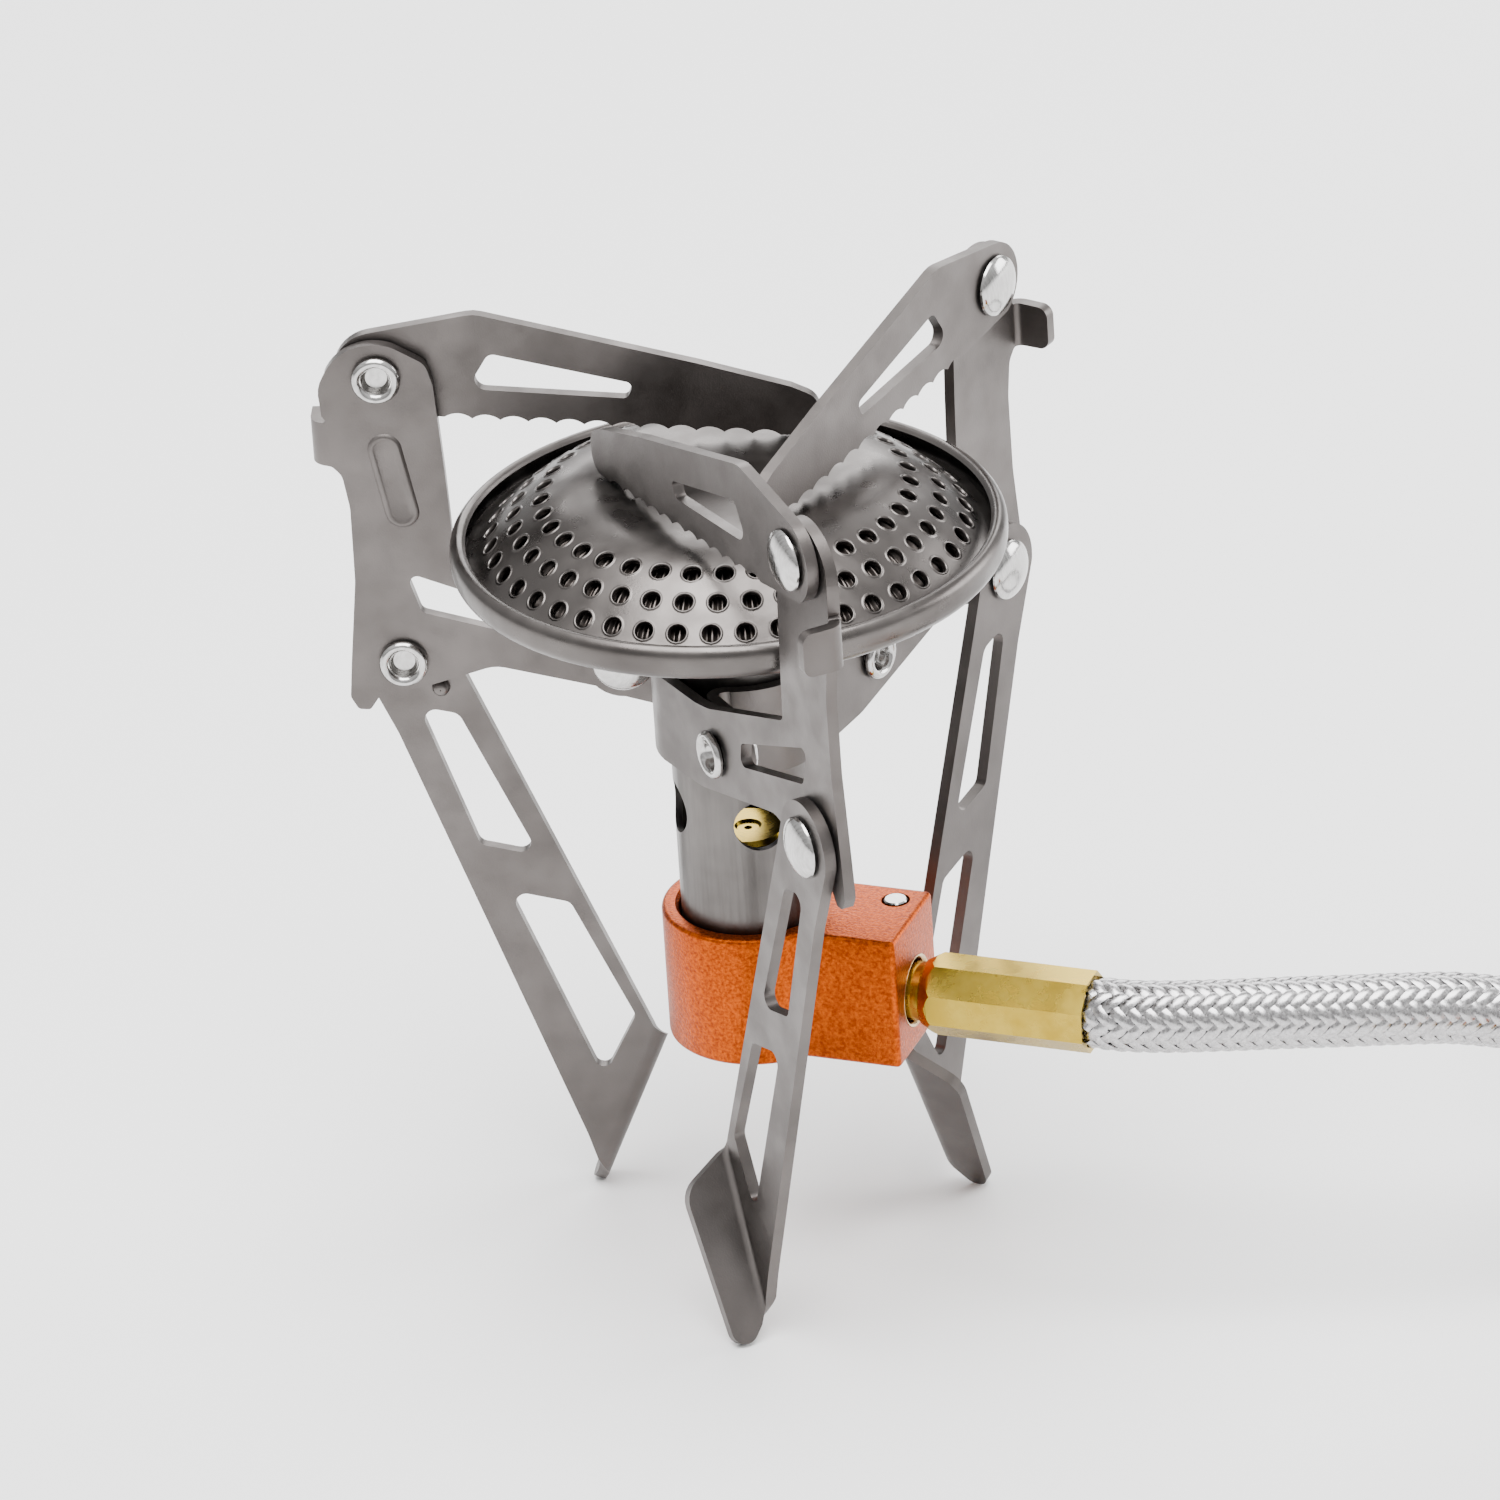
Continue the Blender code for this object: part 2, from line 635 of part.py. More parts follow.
def make_tube(stove):
    inner = TUBE_RADIUS - TUBE_WALL
    bottom = BLOCK_TOP - RECESS_DEPTH + GAP
    profile = [(TUBE_RADIUS, TUBE_TOP), (TUBE_RADIUS, bottom), (inner, bottom), (inner, TUBE_TOP)]
    tube = add_object("mixing_tube", turned(profile), titanium, stove)
    holes = []
    for angle in AIR_HOLE_ANGLES:
        hole = turned([(0, 14), (AIR_HOLE_RADIUS, 14), (AIR_HOLE_RADIUS, 2), (0, 2)], SMALL_ROUND)
        turn = Matrix.Rotation(math.radians(angle), 4, "Z")
        holes.append(turn_mesh(along_x(hole, AIR_HOLE_Z), turn))
    combine(tube, "air_hole_cutter", holes)


def make_jet(stove):
    seat = BLOCK_TOP - RECESS_DEPTH + GAP
    chamfer = 0.5
    profile = [
        (0, seat - JET_SHANK), (JET_SHANK_RADIUS, seat - JET_SHANK), (JET_SHANK_RADIUS, seat),
        (JET_RADIUS, seat), (JET_RADIUS, JET_TOP - chamfer), (JET_RADIUS - chamfer, JET_TOP),
        (0, JET_TOP),
    ]
    jet = add_object("jet", turned(profile, SMALL_ROUND), brass, stove)
    bore = PIN_HOLE_RADIUS
    hole = turned([(0, JET_TOP + 1), (bore, JET_TOP + 1), (bore, seat - 5), (0, seat - 5)], 8)
    slot = prism([(1.4, -0.4), (6, -0.4), (6, 0.4), (1.4, 0.4)], JET_TOP - 1.2, JET_TOP + 1)
    combine(jet, "jet_cutter", [hole, slot])


# ---------------------------------------------------------------- valve block and hose fitting


def make_block(stove):
    half = BLOCK_HALF_WIDTH
    start = math.degrees(math.asin(half / BLOCK_ROUND_RADIUS))
    round_end = arc((0, 0), BLOCK_ROUND_RADIUS, start, 360 - start, 22)
    outline = rounded(round_end + [(BLOCK_END, -half, 0.6), (BLOCK_END, half, 0.6)])
    inner = set_in(outline, BLOCK_EDGE)
    bottom = BLOCK_TOP - BLOCK_HEIGHT
    body = loft(
        [
            (inner, bottom), (outline, bottom + BLOCK_EDGE), (outline, BLOCK_TOP - BLOCK_EDGE),
            (inner, BLOCK_TOP),
        ]
    )
    block = add_object("valve_block", body, orange_aluminium, stove)
    recess = TUBE_RADIUS + GAP
    floor = BLOCK_TOP - RECESS_DEPTH
    shank = JET_SHANK_RADIUS + GAP
    spigot = SPIGOT_RADIUS + GAP
    # The blind bores overlap, which leaves one open way for the gas from the fitting to the jet.
    well = turned([(0, BLOCK_TOP + 2), (recess, BLOCK_TOP + 2), (recess, floor), (0, floor)])
    seat_floor = floor - JET_SEAT_DEPTH
    seat = turned([(0, floor + 1), (shank, floor + 1), (shank, seat_floor), (0, seat_floor)], 16)
    bore = [
        (0, FITTING_BORE_START), (spigot, FITTING_BORE_START),
        (spigot, BLOCK_END - FITTING_CHAMFER), (spigot + FITTING_CHAMFER + 1, BLOCK_END + 1),
        (0, BLOCK_END + 1),
    ]
    fitting = along_x(turned(bore, SMALL_ROUND), FITTING_Z)
    combine(block, "recess_cutter", [well])
    combine(block, "jet_seat_cutter", [seat])
    combine(block, "fitting_cutter", [fitting])
    combine(block, "pin_cutter", [pin_mesh(PIN_RADIUS + GAP, 1.0, GAP)])


def pin_mesh(radius, above, below):
    """The retaining pin stands beside the fitting's groove, and stops it from pulling out."""
    top = BLOCK_TOP + above
    bottom = FITTING_Z - PIN_BELOW - below
    mesh = turned([(0, top), (radius, top), (radius, bottom), (0, bottom)], 12)
    side = GROOVE_RADIUS + PIN_RADIUS + GAP
    return turn_mesh(mesh, Matrix.Translation((GROOVE_X, side, 0)))


def make_retaining_pin(stove):
    add_object("retaining_pin", pin_mesh(PIN_RADIUS, PIN_ABOVE, 0), polished_steel, stove)


def octagon(flats):
    radius = flats / 2 / math.cos(math.pi / 8)
    return [on_circle(radius, math.pi / 8 + math.pi / 4 * number) for number in range(8)]


def octagon_bar(flats, sections):
    """An octagonal bar along +X through (x, share of the full width) sections."""
    rings = [([point * share for point in octagon(flats)], x) for x, share in sections]
    return along_x(loft(rings), FITTING_Z)


def make_ferrule(stove):
    """The spigot, its groove and its neck are turned, and the grip is an octagon."""
    spigot, groove = SPIGOT_RADIUS, GROOVE_RADIUS
    half = PIN_RADIUS + GAP
    turned_end = [
        (0, 7.5), (spigot, 7.5), (spigot, GROOVE_X - half), (groove, GROOVE_X - half),
        (groove, GROOVE_X + half), (spigot, GROOVE_X + half), (spigot, FERRULE_START + 1),
        (0, FERRULE_START + 1),
    ]
    ferrule = add_object(
        "hose_ferrule", along_x(turned(turned_end, SMALL_ROUND), FITTING_Z), brass, stove
    )
    sections = ((FERRULE_START, 0.86), (FERRULE_START + 1.4, 1.0), (FERRULE_END, 1.0))
    grip = octagon_bar(FERRULE_FLATS, sections)
    combine(ferrule, "grip_guide", [grip], "UNION")


# ---------------------------------------------------------------- hose and canister valve


def turn_centre():
    """Centre of the hose's turn, which starts at the end of the lead, heading across the radius."""
    start = Vector(HOSE_LEAD[-1][:2])
    return start - on_circle(HOSE_TURN_RADIUS, math.radians(HOSE_TURN_START))


def hose_heading():
    return math.radians(HOSE_TURN_START + HOSE_TURN + 90)


def hose_route(floor):
    """Route points from the mouth of the ferrule, with the floor at a height from there."""
    lowest = floor + HOSE_RADIUS + HOSE_CLEARANCE
    points = [Vector((x, y, share * lowest)) for x, y, share in HOSE_LEAD]
    centre = turn_centre()
    for number in range(1, HOSE_TURN_POINTS + 1):
        angle = math.radians(HOSE_TURN_START + HOSE_TURN * number / HOSE_TURN_POINTS)
        points.append((centre + on_circle(HOSE_TURN_RADIUS, angle)).to_3d())
        points[-1].z = lowest
    last = points[-1]
    heading = on_circle(1, hose_heading()).to_3d()
    for distance, height in HOSE_TAIL:
        points.append(last + heading * distance + Vector((0, 0, height)))
    return points


def smooth_points(points, step):
    """Points about one step apart along a smooth curve through the route."""
    fine = []
    tangents = []
    for index, point in enumerate(points):
        before = points[max(index - 1, 0)]
        after = points[min(index + 1, len(points) - 1)]
        reach = (after - point).length + (point - before).length
        tangents.append((after - before) / reach)
    for index in range(len(points) - 1):
        start, end = points[index], points[index + 1]
        handle = (end - start).length / 3
        fine += geometry.interpolate_bezier(
            start, start + tangents[index] * handle, end - tangents[index + 1] * handle, end, 17
        )[:-1]
    fine.append(points[-1])
    lengths = [0.0]
    for before, after in zip(fine, fine[1:]):
        lengths.append(lengths[-1] + (after - before).length)
    total = lengths[-1]
    count = round(total / step)
    wanted = [total * number / count for number in range(1, count)]
    wanted = [0, HOSE_END_STEP, *wanted, total - HOSE_END_STEP, total]
    chosen = [min(range(len(fine)), key=lambda i, w=w: abs(lengths[i] - w)) for w in wanted]
    return [fine[index] for index in chosen]


def make_hose(stove, floor):
    points = smooth_points(hose_route(floor - FITTING_Z), HOSE_STEP)
    curve = bpy.data.curves.new("hose", "CURVE")
    curve.dimensions = "3D"
    curve.bevel_depth = HOSE_RADIUS * MM
    curve.bevel_resolution = 3
    curve.use_fill_caps = True
    curve.materials.append(braided_steel("hose_finish"))
    spline = curve.splines.new("POLY")
    spline.points.add(len(points) - 1)
    for place, point in zip(spline.points, points):
        place.co = (*(point * MM), 1.0)
    hose = bpy.data.objects.new("hose", curve)
    bpy.context.scene.collection.objects.link(hose)
    hose.parent = stove
    hose.location = Vector((FERRULE_END, 0, FITTING_Z)) * MM


def valve_knob_mesh(start):
    """A ribbed knob turned about the valve's axis, as an outline pushed along it."""
    outline = []
    for number in range(KNOB_RIBS * 4):
        radius = KNOB_RADIUS - (0.7 if number % 4 in (2, 3) else 0)
        outline.append(on_circle(radius, math.tau * number / (KNOB_RIBS * 4)))
    return along_x(prism(outline, start, start + KNOB_LENGTH), 0)


def make_canister_valve(stove, ground):
    """The valve stands on its collar at the end of the hose, with the knob opposite the hose."""
    end = Vector((FERRULE_END, 0, FITTING_Z)) + hose_route(ground - FITTING_Z)[-1]
    floor = ground - end.z
    valve = add_empty("canister_valve", stove, end, math.degrees(hose_heading()))
    tip = VALVE_FERRULE_LENGTH + GAP
    radius = VALVE_FERRULE_RADIUS
    ferrule = [
        (0, GAP), (radius - 0.6, GAP), (radius, 1.0), (radius, 3.4), (radius - 0.6, 4.0),
        (radius, 4.6), (radius, 7.6), (radius - 0.6, 8.2), (radius, 8.8), (radius, tip - 3),
        (radius - 1.6, tip - 1.8), (radius - 1.6, tip), (0, tip),
    ]
    add_object("canister_ferrule", along_x(turned(ferrule, SMALL_ROUND), 0), brass, valve)

    centre = tip + VALVE_RADIUS
    seat = floor + COLLAR_HEIGHT + GAP
    top = seat + VALVE_HEIGHT
    body_line = [
        (0, seat), (VALVE_RADIUS, seat), (VALVE_RADIUS, top - VALVE_EDGE),
        (VALVE_RADIUS - VALVE_EDGE, top), (0, top),
    ]
    place = Matrix.Translation((centre, 0, 0))
    body_mesh = turn_mesh(turned(body_line, 24), place)
    body = add_object("canister_valve_body", body_mesh, orange_aluminium, valve)
    # Flats for the hose's ferrule and for the knob's spindle.
    reach = VALVE_RADIUS + 1
    far = centre + VALVE_RADIUS - VALVE_FLAT_DEPTH
    flats = [
        prism([(x, -reach), (x + side, -reach), (x + side, reach), (x, reach)], floor - 1, top + 1)
        for x, side in ((centre - VALVE_RADIUS + VALVE_FLAT_DEPTH, -VALVE_RADIUS), (far, VALVE_RADIUS))
    ]
    bore = SPINDLE_RADIUS + GAP
    socket = far - SPINDLE_SOCKET
    out = centre + 2 * VALVE_RADIUS
    spindle_bore = turned([(0, socket), (bore, socket), (bore, out), (0, out)], 12)
    combine(body, "canister_flats_cutter", flats)
    combine(body, "spindle_bore_cutter", [along_x(spindle_bore, 0)])

    collar_line = [
        (COLLAR_RADIUS, floor + COLLAR_HEIGHT - 1), (COLLAR_RADIUS, floor + 0.6),
        (COLLAR_RADIUS - 0.6, floor), (THREAD_RADIUS, floor), (THREAD_RADIUS, floor + THREAD_DEPTH),
        (THREAD_RADIUS - 3.6, floor + THREAD_DEPTH), (THREAD_RADIUS - 3.6, floor + COLLAR_HEIGHT),
        (COLLAR_RADIUS - 1, floor + COLLAR_HEIGHT),
    ]
    add_object("canister_collar", turn_mesh(turned(collar_line, 24), place), brass, valve)
    seal_top = floor + THREAD_DEPTH - GAP
    outer, inner = THREAD_RADIUS - GAP, THREAD_RADIUS - 3.3
    seal_line = [
        (outer, seal_top), (outer, seal_top - SEAL_HEIGHT), (inner, seal_top - SEAL_HEIGHT),
        (inner, seal_top),
    ]
    add_object("canister_seal", turn_mesh(turned(seal_line, SMALL_ROUND), place), black_rubber, valve)

    start = socket + GAP
    knob_start = centre + COLLAR_RADIUS + KNOB_CLEARANCE
    end_x = knob_start - GAP
    spindle = turned([(0, start), (SPINDLE_RADIUS, start), (SPINDLE_RADIUS, end_x), (0, end_x)], 12)
    add_object("canister_spindle", along_x(spindle, 0), brass, valve)
    add_object("canister_knob", valve_knob_mesh(knob_start), orange_aluminium, valve)


# ---------------------------------------------------------------- the whole stove


def own_box():
    """The lowest and highest corners of the stove without its hose and canister valve."""
    bpy.context.view_layer.update()
    graph = bpy.context.evaluated_depsgraph_get()
    low = Vector((math.inf,) * 3)
    high = -low
    for item in bpy.data.objects:
        if item.type != "MESH" or item.hide_render or item.name.startswith("canister"):
            continue
        evaluated = item.evaluated_get(graph)
        for vert in evaluated.data.vertices:
            place = evaluated.matrix_world @ vert.co
            low = Vector(map(min, low, place))
            high = Vector(map(max, high, place))
    return low, high


def main():
    for item in list(bpy.data.objects):
        bpy.data.objects.remove(item, do_unlink=True)
    stove = add_empty("stove", None)
    make_units(stove)
    make_head(stove)
    make_bowl(stove)
    make_tube(stove)
    make_jet(stove)
    make_block(stove)
    make_retaining_pin(stove)
    make_ferrule(stove)
    low, high = own_box()
    make_hose(stove, low.z / MM)
    make_canister_valve(stove, low.z / MM)
    stove.location = (-(low.x + high.x) / 2, -(low.y + high.y) / 2, -low.z)


main()
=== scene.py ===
import math

import bmesh
import bpy
from mathutils import Matrix, Vector, geometry


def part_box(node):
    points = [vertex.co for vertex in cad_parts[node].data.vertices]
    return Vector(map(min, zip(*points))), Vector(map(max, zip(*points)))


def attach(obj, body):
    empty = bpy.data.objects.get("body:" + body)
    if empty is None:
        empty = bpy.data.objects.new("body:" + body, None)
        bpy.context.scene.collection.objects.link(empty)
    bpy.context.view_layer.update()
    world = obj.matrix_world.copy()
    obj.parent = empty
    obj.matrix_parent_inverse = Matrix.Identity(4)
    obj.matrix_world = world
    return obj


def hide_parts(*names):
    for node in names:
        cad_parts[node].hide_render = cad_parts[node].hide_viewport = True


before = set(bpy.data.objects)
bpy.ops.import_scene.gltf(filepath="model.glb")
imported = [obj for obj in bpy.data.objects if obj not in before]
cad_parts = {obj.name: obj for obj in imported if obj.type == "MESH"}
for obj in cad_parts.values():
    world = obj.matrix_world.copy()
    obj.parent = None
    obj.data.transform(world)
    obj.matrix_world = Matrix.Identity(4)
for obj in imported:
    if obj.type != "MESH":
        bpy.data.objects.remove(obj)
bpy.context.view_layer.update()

# Sizes are in millimetres, as in the CAD model, and a mesh is scaled to metres as it is made.
MM = 0.001
GAP = 0.3
SHEET = 1.3
BEND_RADIUS = 1.4
UNIT_ANGLES = (77, 197, 317)
TUBE_RADIUS = 7.9
TUBE_WALL = 0.8
TUBE_TOP = 8.6
AIR_HOLE_ANGLES = (33, 123, 213, 303)
AIR_HOLE_RADIUS = 3.0
AIR_HOLE_Z = -13.3
RIM_RADIUS = 30.4
BURNER_Z = 16.0
SHELL = 0.6
UPRIGHT_INNER = RIM_RADIUS + 0.9
LEG_PIVOT = (UPRIGHT_INNER + 6.1, 0.0)
ARM_PIVOT = (UPRIGHT_INNER + 6.75, 34.6)
TAB_START = UPRIGHT_INNER + 12.4
RIVET_HOLE_RADIUS = 2.3
LUG_REACH = 3.95
LUG_Z = 0.2
BLOCK_TOP = -26.2
BLOCK_HEIGHT = 15.6
BLOCK_RADIUS = 10.1  # round the tube
BLOCK_HALF_WIDTH = 6.4
BLOCK_END = 18.7
RECESS_DEPTH = 5.0
PIN_PLACE = (15.5, 3.4, 0)
FITTING_Z = -35.3
FERRULE_END = 39.3
HOSE_RADIUS = 4.0

PLATE_NEAR = TUBE_RADIUS + GAP
PLATE_FAR = PLATE_NEAR + SHEET
PLATE_MIDDLE = PLATE_NEAR + SHEET / 2
SWING_NEAR = PLATE_FAR + GAP
SWING_FAR = SWING_NEAR + SHEET
LUG_NEAR = PLATE_NEAR - GAP - SHEET
LUG_MIDDLE = LUG_NEAR + SHEET / 2
COLLAR_BEND_RADIUS = 1.8
COLLAR_SPREAD = math.acos((LUG_MIDDLE - COLLAR_BEND_RADIUS) / (PLATE_MIDDLE + COLLAR_BEND_RADIUS))
COLLAR_ANGLE = math.radians(120) - COLLAR_SPREAD
COLLAR_LENGTH = PLATE_MIDDLE * COLLAR_ANGLE
COLLAR_BACK = COLLAR_LENGTH + COLLAR_BEND_RADIUS * (COLLAR_ANGLE + math.radians(60))
LUG_PIVOT = ((PLATE_MIDDLE + COLLAR_BEND_RADIUS) * math.sin(COLLAR_SPREAD) + LUG_REACH, LUG_Z)

# The burner's axis and the height of the leg pivots, read from the frame.
tube_low, tube_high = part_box("mixing_tube")
ORIGIN = Vector(((tube_low.x + tube_high.x) / 2, (tube_low.y + tube_high.y) / 2, tube_high.z))
ORIGIN.z -= TUBE_TOP * MM
STOVE = Matrix.Translation(ORIGIN) @ Matrix.Scale(MM, 4)
MOUTH = STOVE @ Vector((FERRULE_END, 0, FITTING_Z))


def link_object(name, data):
    made = bpy.data.objects.new(name, data)
    bpy.context.scene.collection.objects.link(made)
    return made


# ---------------------------------------------------------------- camera


def make_camera():
    """A long lens that looks down on the stove, rolled slightly and turned about its axis."""
    tilt, roll, turn = math.radians(27.28), math.radians(-3.82), 22.0
    distance = 1500.0
    view_width = 164.2935  # at the target
    target = Vector((0.77, 0.0, -7.87))
    back = Vector((0, -math.cos(tilt), math.sin(tilt)))
    right = Vector((1, 0, 0))
    up = back.cross(right)
    side = right * math.cos(roll) + up * math.sin(roll)
    top = up * math.cos(roll) - right * math.sin(roll)
    placed = Matrix((side, top, back)).transposed().to_4x4()
    placed.translation = target + back * distance
    turned_to = Matrix.Rotation(math.radians(turn), 4, "Z")
    camera = link_object("camera", bpy.data.cameras.new("camera"))
    matrix = turned_to @ placed
    matrix.translation = STOVE @ matrix.translation
    camera.matrix_world = matrix
    camera.data.sensor_width = 36.0
    camera.data.lens = camera.data.sensor_width * distance / view_width
    camera.data.clip_end = 10.0
    bpy.context.scene.camera = camera


make_camera()


# ---------------------------------------------------------------- materials


class Nodes:
    """A small writer of shader node graphs."""

    def __init__(self, name):
        self.material = bpy.data.materials.new(name)
        self.material.use_nodes = True
        self.tree = self.material.node_tree
        self.shader = self.tree.nodes["Principled BSDF"]

    def add(self, kind, **inputs):
        node = self.tree.nodes.new(kind)
        for key, value in inputs.items():
            target = node.inputs[key.replace("_", " ")]
            if isinstance(value, bpy.types.NodeSocket):
                self.tree.links.new(value, target)
            else:
                target.default_value = value
        return node

    def coordinates(self, stretch=(1, 1, 1)):
        place = self.tree.nodes.new("ShaderNodeTexCoord").outputs["Object"]
        mapping = self.add("ShaderNodeMapping", Vector=place)
        mapping.inputs["Scale"].default_value = stretch
        return mapping.outputs["Vector"]

    def noise(self, scale, detail=2.0, roughness=0.5, stretch=(1, 1, 1)):
        node = self.add(
            "ShaderNodeTexNoise", Vector=self.coordinates(stretch), Scale=scale, Detail=detail,
            Roughness=roughness,
        )
        return node.outputs["Fac"]

    def spread(self, value, low, high, start=0.35, end=0.65):
        """The value between start and end, spread between low and high."""
        node = self.add(
            "ShaderNodeMapRange", Value=value, From_Min=start, From_Max=end, To_Min=low,
            To_Max=high,
        )
        return node.outputs["Result"]

    def mix(self, factor, first, second):
        node = self.tree.nodes.new("ShaderNodeMix")
        node.data_type = "RGBA"
        self.tree.links.new(factor, node.inputs["Factor"])
        node.inputs["A"].default_value = (*first, 1)
        node.inputs["B"].default_value = (*second, 1)
        return node.outputs["Result"]

    def bump(self, height, depth, strength=1.0, after=None):
        node = self.add("ShaderNodeBump", Height=height, Strength=strength, Distance=depth)
        if after:
            self.tree.links.new(after, node.inputs["Normal"])
        return node.outputs["Normal"]

    def link(self, value, name):
        self.tree.links.new(value, self.shader.inputs[name])

    def colour(self, value, first, second):
        """A base colour that runs from the first to the second with the value."""
        self.link(self.mix(self.spread(value, 0, 1), first, second), "Base Color")

    def set(self, **values):
        for key, value in values.items():
            self.shader.inputs[key.replace("_", " ")].default_value = value


def blasted_titanium():
    """Bead-blasted sheet: a fine even grain, faint stains and softly varied gloss."""
    nodes = Nodes("blasted_titanium")
    stain = nodes.noise(55.0, 3.0, 0.6)
    grain = nodes.noise(5200.0, 2.0)
    nodes.colour(stain, (0.112, 0.101, 0.096), (0.150, 0.136, 0.130))
    nodes.link(nodes.spread(nodes.noise(240.0, 3.0), 0.36, 0.50), "Roughness")
    nodes.link(nodes.bump(grain, 0.00003, 0.55), "Normal")
    nodes.set(Metallic=1.0)
    return nodes.material


def pressed_titanium():
    """The burner's satin pressing, with a faint even grain."""
    nodes = Nodes("pressed_titanium")
    stain = nodes.noise(70.0, 3.0, 0.6)
    grain = nodes.noise(3600.0, 2.0)
    nodes.colour(stain, (0.090, 0.081, 0.077), (0.130, 0.119, 0.113))
    nodes.link(nodes.spread(nodes.noise(300.0, 3.0), 0.26, 0.38), "Roughness")
    nodes.link(nodes.bump(grain, 0.00002, 0.35), "Normal")
    nodes.set(Metallic=1.0)
    return nodes.material


def drawn_titanium():
    """The mixing tube, with fine lines along it."""
    nodes = Nodes("drawn_titanium")
    lines = nodes.noise(900.0, 2.0, 0.5, (3, 3, 0.12))
    grain = nodes.noise(4200.0, 2.0)
    stain = nodes.noise(90.0, 3.0, 0.6)
    nodes.colour(stain, (0.100, 0.092, 0.088), (0.140, 0.130, 0.124))
    nodes.link(nodes.spread(lines, 0.30, 0.42), "Roughness")
    first = nodes.bump(lines, 0.00001, 0.3)
    nodes.link(nodes.bump(grain, 0.00002, 0.35, first), "Normal")
    nodes.set(Metallic=1.0)
    return nodes.material


def polished_steel():
    nodes = Nodes("polished_steel")
    scratches = nodes.noise(900.0, 3.0, 0.6, (1, 6, 1))
    nodes.colour(scratches, (0.42, 0.41, 0.40), (0.56, 0.55, 0.54))
    nodes.link(nodes.spread(scratches, 0.10, 0.22), "Roughness")
    nodes.link(nodes.bump(scratches, 0.000006, 0.4), "Normal")
    nodes.set(Metallic=1.0)
    return nodes.material


def orange_anodised():
    """Blasted and dyed aluminium: a coarse orange-peel grain with fine glints."""
    nodes = Nodes("orange_anodised")
    coarse = nodes.noise(2800.0, 3.0, 0.6)
    fine = nodes.noise(6500.0, 2.0)
    nodes.colour(coarse, (0.24, 0.030, 0.0), (0.52, 0.085, 0.0005))
    nodes.link(nodes.spread(fine, 0.30, 0.46), "Roughness")
    first = nodes.bump(coarse, 0.00008, 0.9)
    nodes.link(nodes.bump(fine, 0.00003, 0.5, first), "Normal")
    nodes.set(Metallic=0.95)
    return nodes.material


def turned_brass():
    nodes = Nodes("turned_brass")
    stain = nodes.noise(260.0, 3.0, 0.6)
    lines = nodes.noise(2400.0, 2.0, 0.5, (1, 0.25, 0.25))
    nodes.colour(stain, (0.36, 0.24, 0.025), (0.48, 0.34, 0.05))
    nodes.link(nodes.spread(stain, 0.20, 0.34), "Roughness")
    nodes.link(nodes.bump(lines, 0.00001, 0.2), "Normal")
    nodes.set(Metallic=1.0)
    return nodes.material


def braid_steel():
    nodes = Nodes("braid_steel")
    streaks = nodes.noise(2600.0, 2.0, 0.6)
    nodes.colour(streaks, (0.38, 0.37, 0.375), (0.56, 0.55, 0.555))
    nodes.link(nodes.spread(streaks, 0.20, 0.36), "Roughness")
    nodes.link(nodes.bump(streaks, 0.00002, 0.5), "Normal")
    nodes.set(Metallic=1.0)
    return nodes.material


def sooted_steel():
    """The burner's inner gauze, browned by heat."""
    nodes = Nodes("sooted_steel")
    stain = nodes.noise(700.0, 3.0, 0.6)
    nodes.colour(stain, (0.05, 0.042, 0.038), (0.16, 0.14, 0.13))
    nodes.link(nodes.spread(stain, 0.25, 0.45), "Roughness")
    nodes.set(Metallic=1.0)
    return nodes.material


def dark_liner():
    nodes = Nodes("dark_liner")
    grain = nodes.noise(1800.0, 2.0)
    nodes.colour(grain, (0.012, 0.012, 0.013), (0.03, 0.03, 0.03))
    nodes.link(nodes.bump(grain, 0.00004, 0.4), "Normal")
    nodes.set(Roughness=0.6)
    return nodes.material


def bright_machined():
    """Edges cut after anodising, which show bare metal."""
    nodes = Nodes("bright_machined")
    lines = nodes.noise(2600.0, 2.0, 0.5, (0.3, 2, 2))
    nodes.colour(lines, (0.52, 0.34, 0.16), (0.66, 0.46, 0.26))
    nodes.link(nodes.spread(lines, 0.14, 0.28), "Roughness")
    nodes.link(nodes.bump(lines, 0.000008, 0.4), "Normal")
    nodes.set(Metallic=1.0)
    return nodes.material


TITANIUM = blasted_titanium()
BURNER = pressed_titanium()
TUBE = drawn_titanium()
STEEL = polished_steel()
ORANGE = orange_anodised()
BRASS = turned_brass()
BRAID = braid_steel()
LINER = dark_liner()
GAUZE = sooted_steel()
BRIGHT = bright_machined()


# ---------------------------------------------------------------- mesh helpers


def on_circle(radius, angle):
    return Vector((radius * math.cos(angle), radius * math.sin(angle)))


def rounded(corners, step=12):
    """Points of an outline of (s, z, fillet radius) corners, with each fillet as an arc."""
    points = []
    for index, (s, z, radius) in enumerate(corners):
        corner = Vector((s, z))
        before = Vector(corners[index - 1][:2]) - corner
        after = Vector(corners[(index + 1) % len(corners)][:2]) - corner
        angle = before.angle(after)
        if radius == 0 or math.pi - angle < math.radians(4):
            points.append(corner)
            continue
        tangent = min(radius / math.tan(angle / 2), before.length * 0.48, after.length * 0.48)
        fillet = tangent * math.tan(angle / 2)
        middle = (before.normalized() + after.normalized()).normalized()
        centre = corner + middle * (fillet / math.sin(angle / 2))
        first = corner + before.normalized() * tangent - centre
        last = corner + after.normalized() * tangent - centre
        count = max(2, round(math.degrees(math.pi - angle) / step))
        turn = first.angle_signed(last)
        for number in range(count + 1):
            points.append(centre + Matrix.Rotation(-turn * number / count, 2) @ first)
    return points


def arc(centre, radius, start, end, count):
    angles = [math.radians(start + (end - start) * number / count) for number in range(count + 1)]
    return [(*(Vector(centre) + on_circle(radius, angle)), 0) for angle in angles]


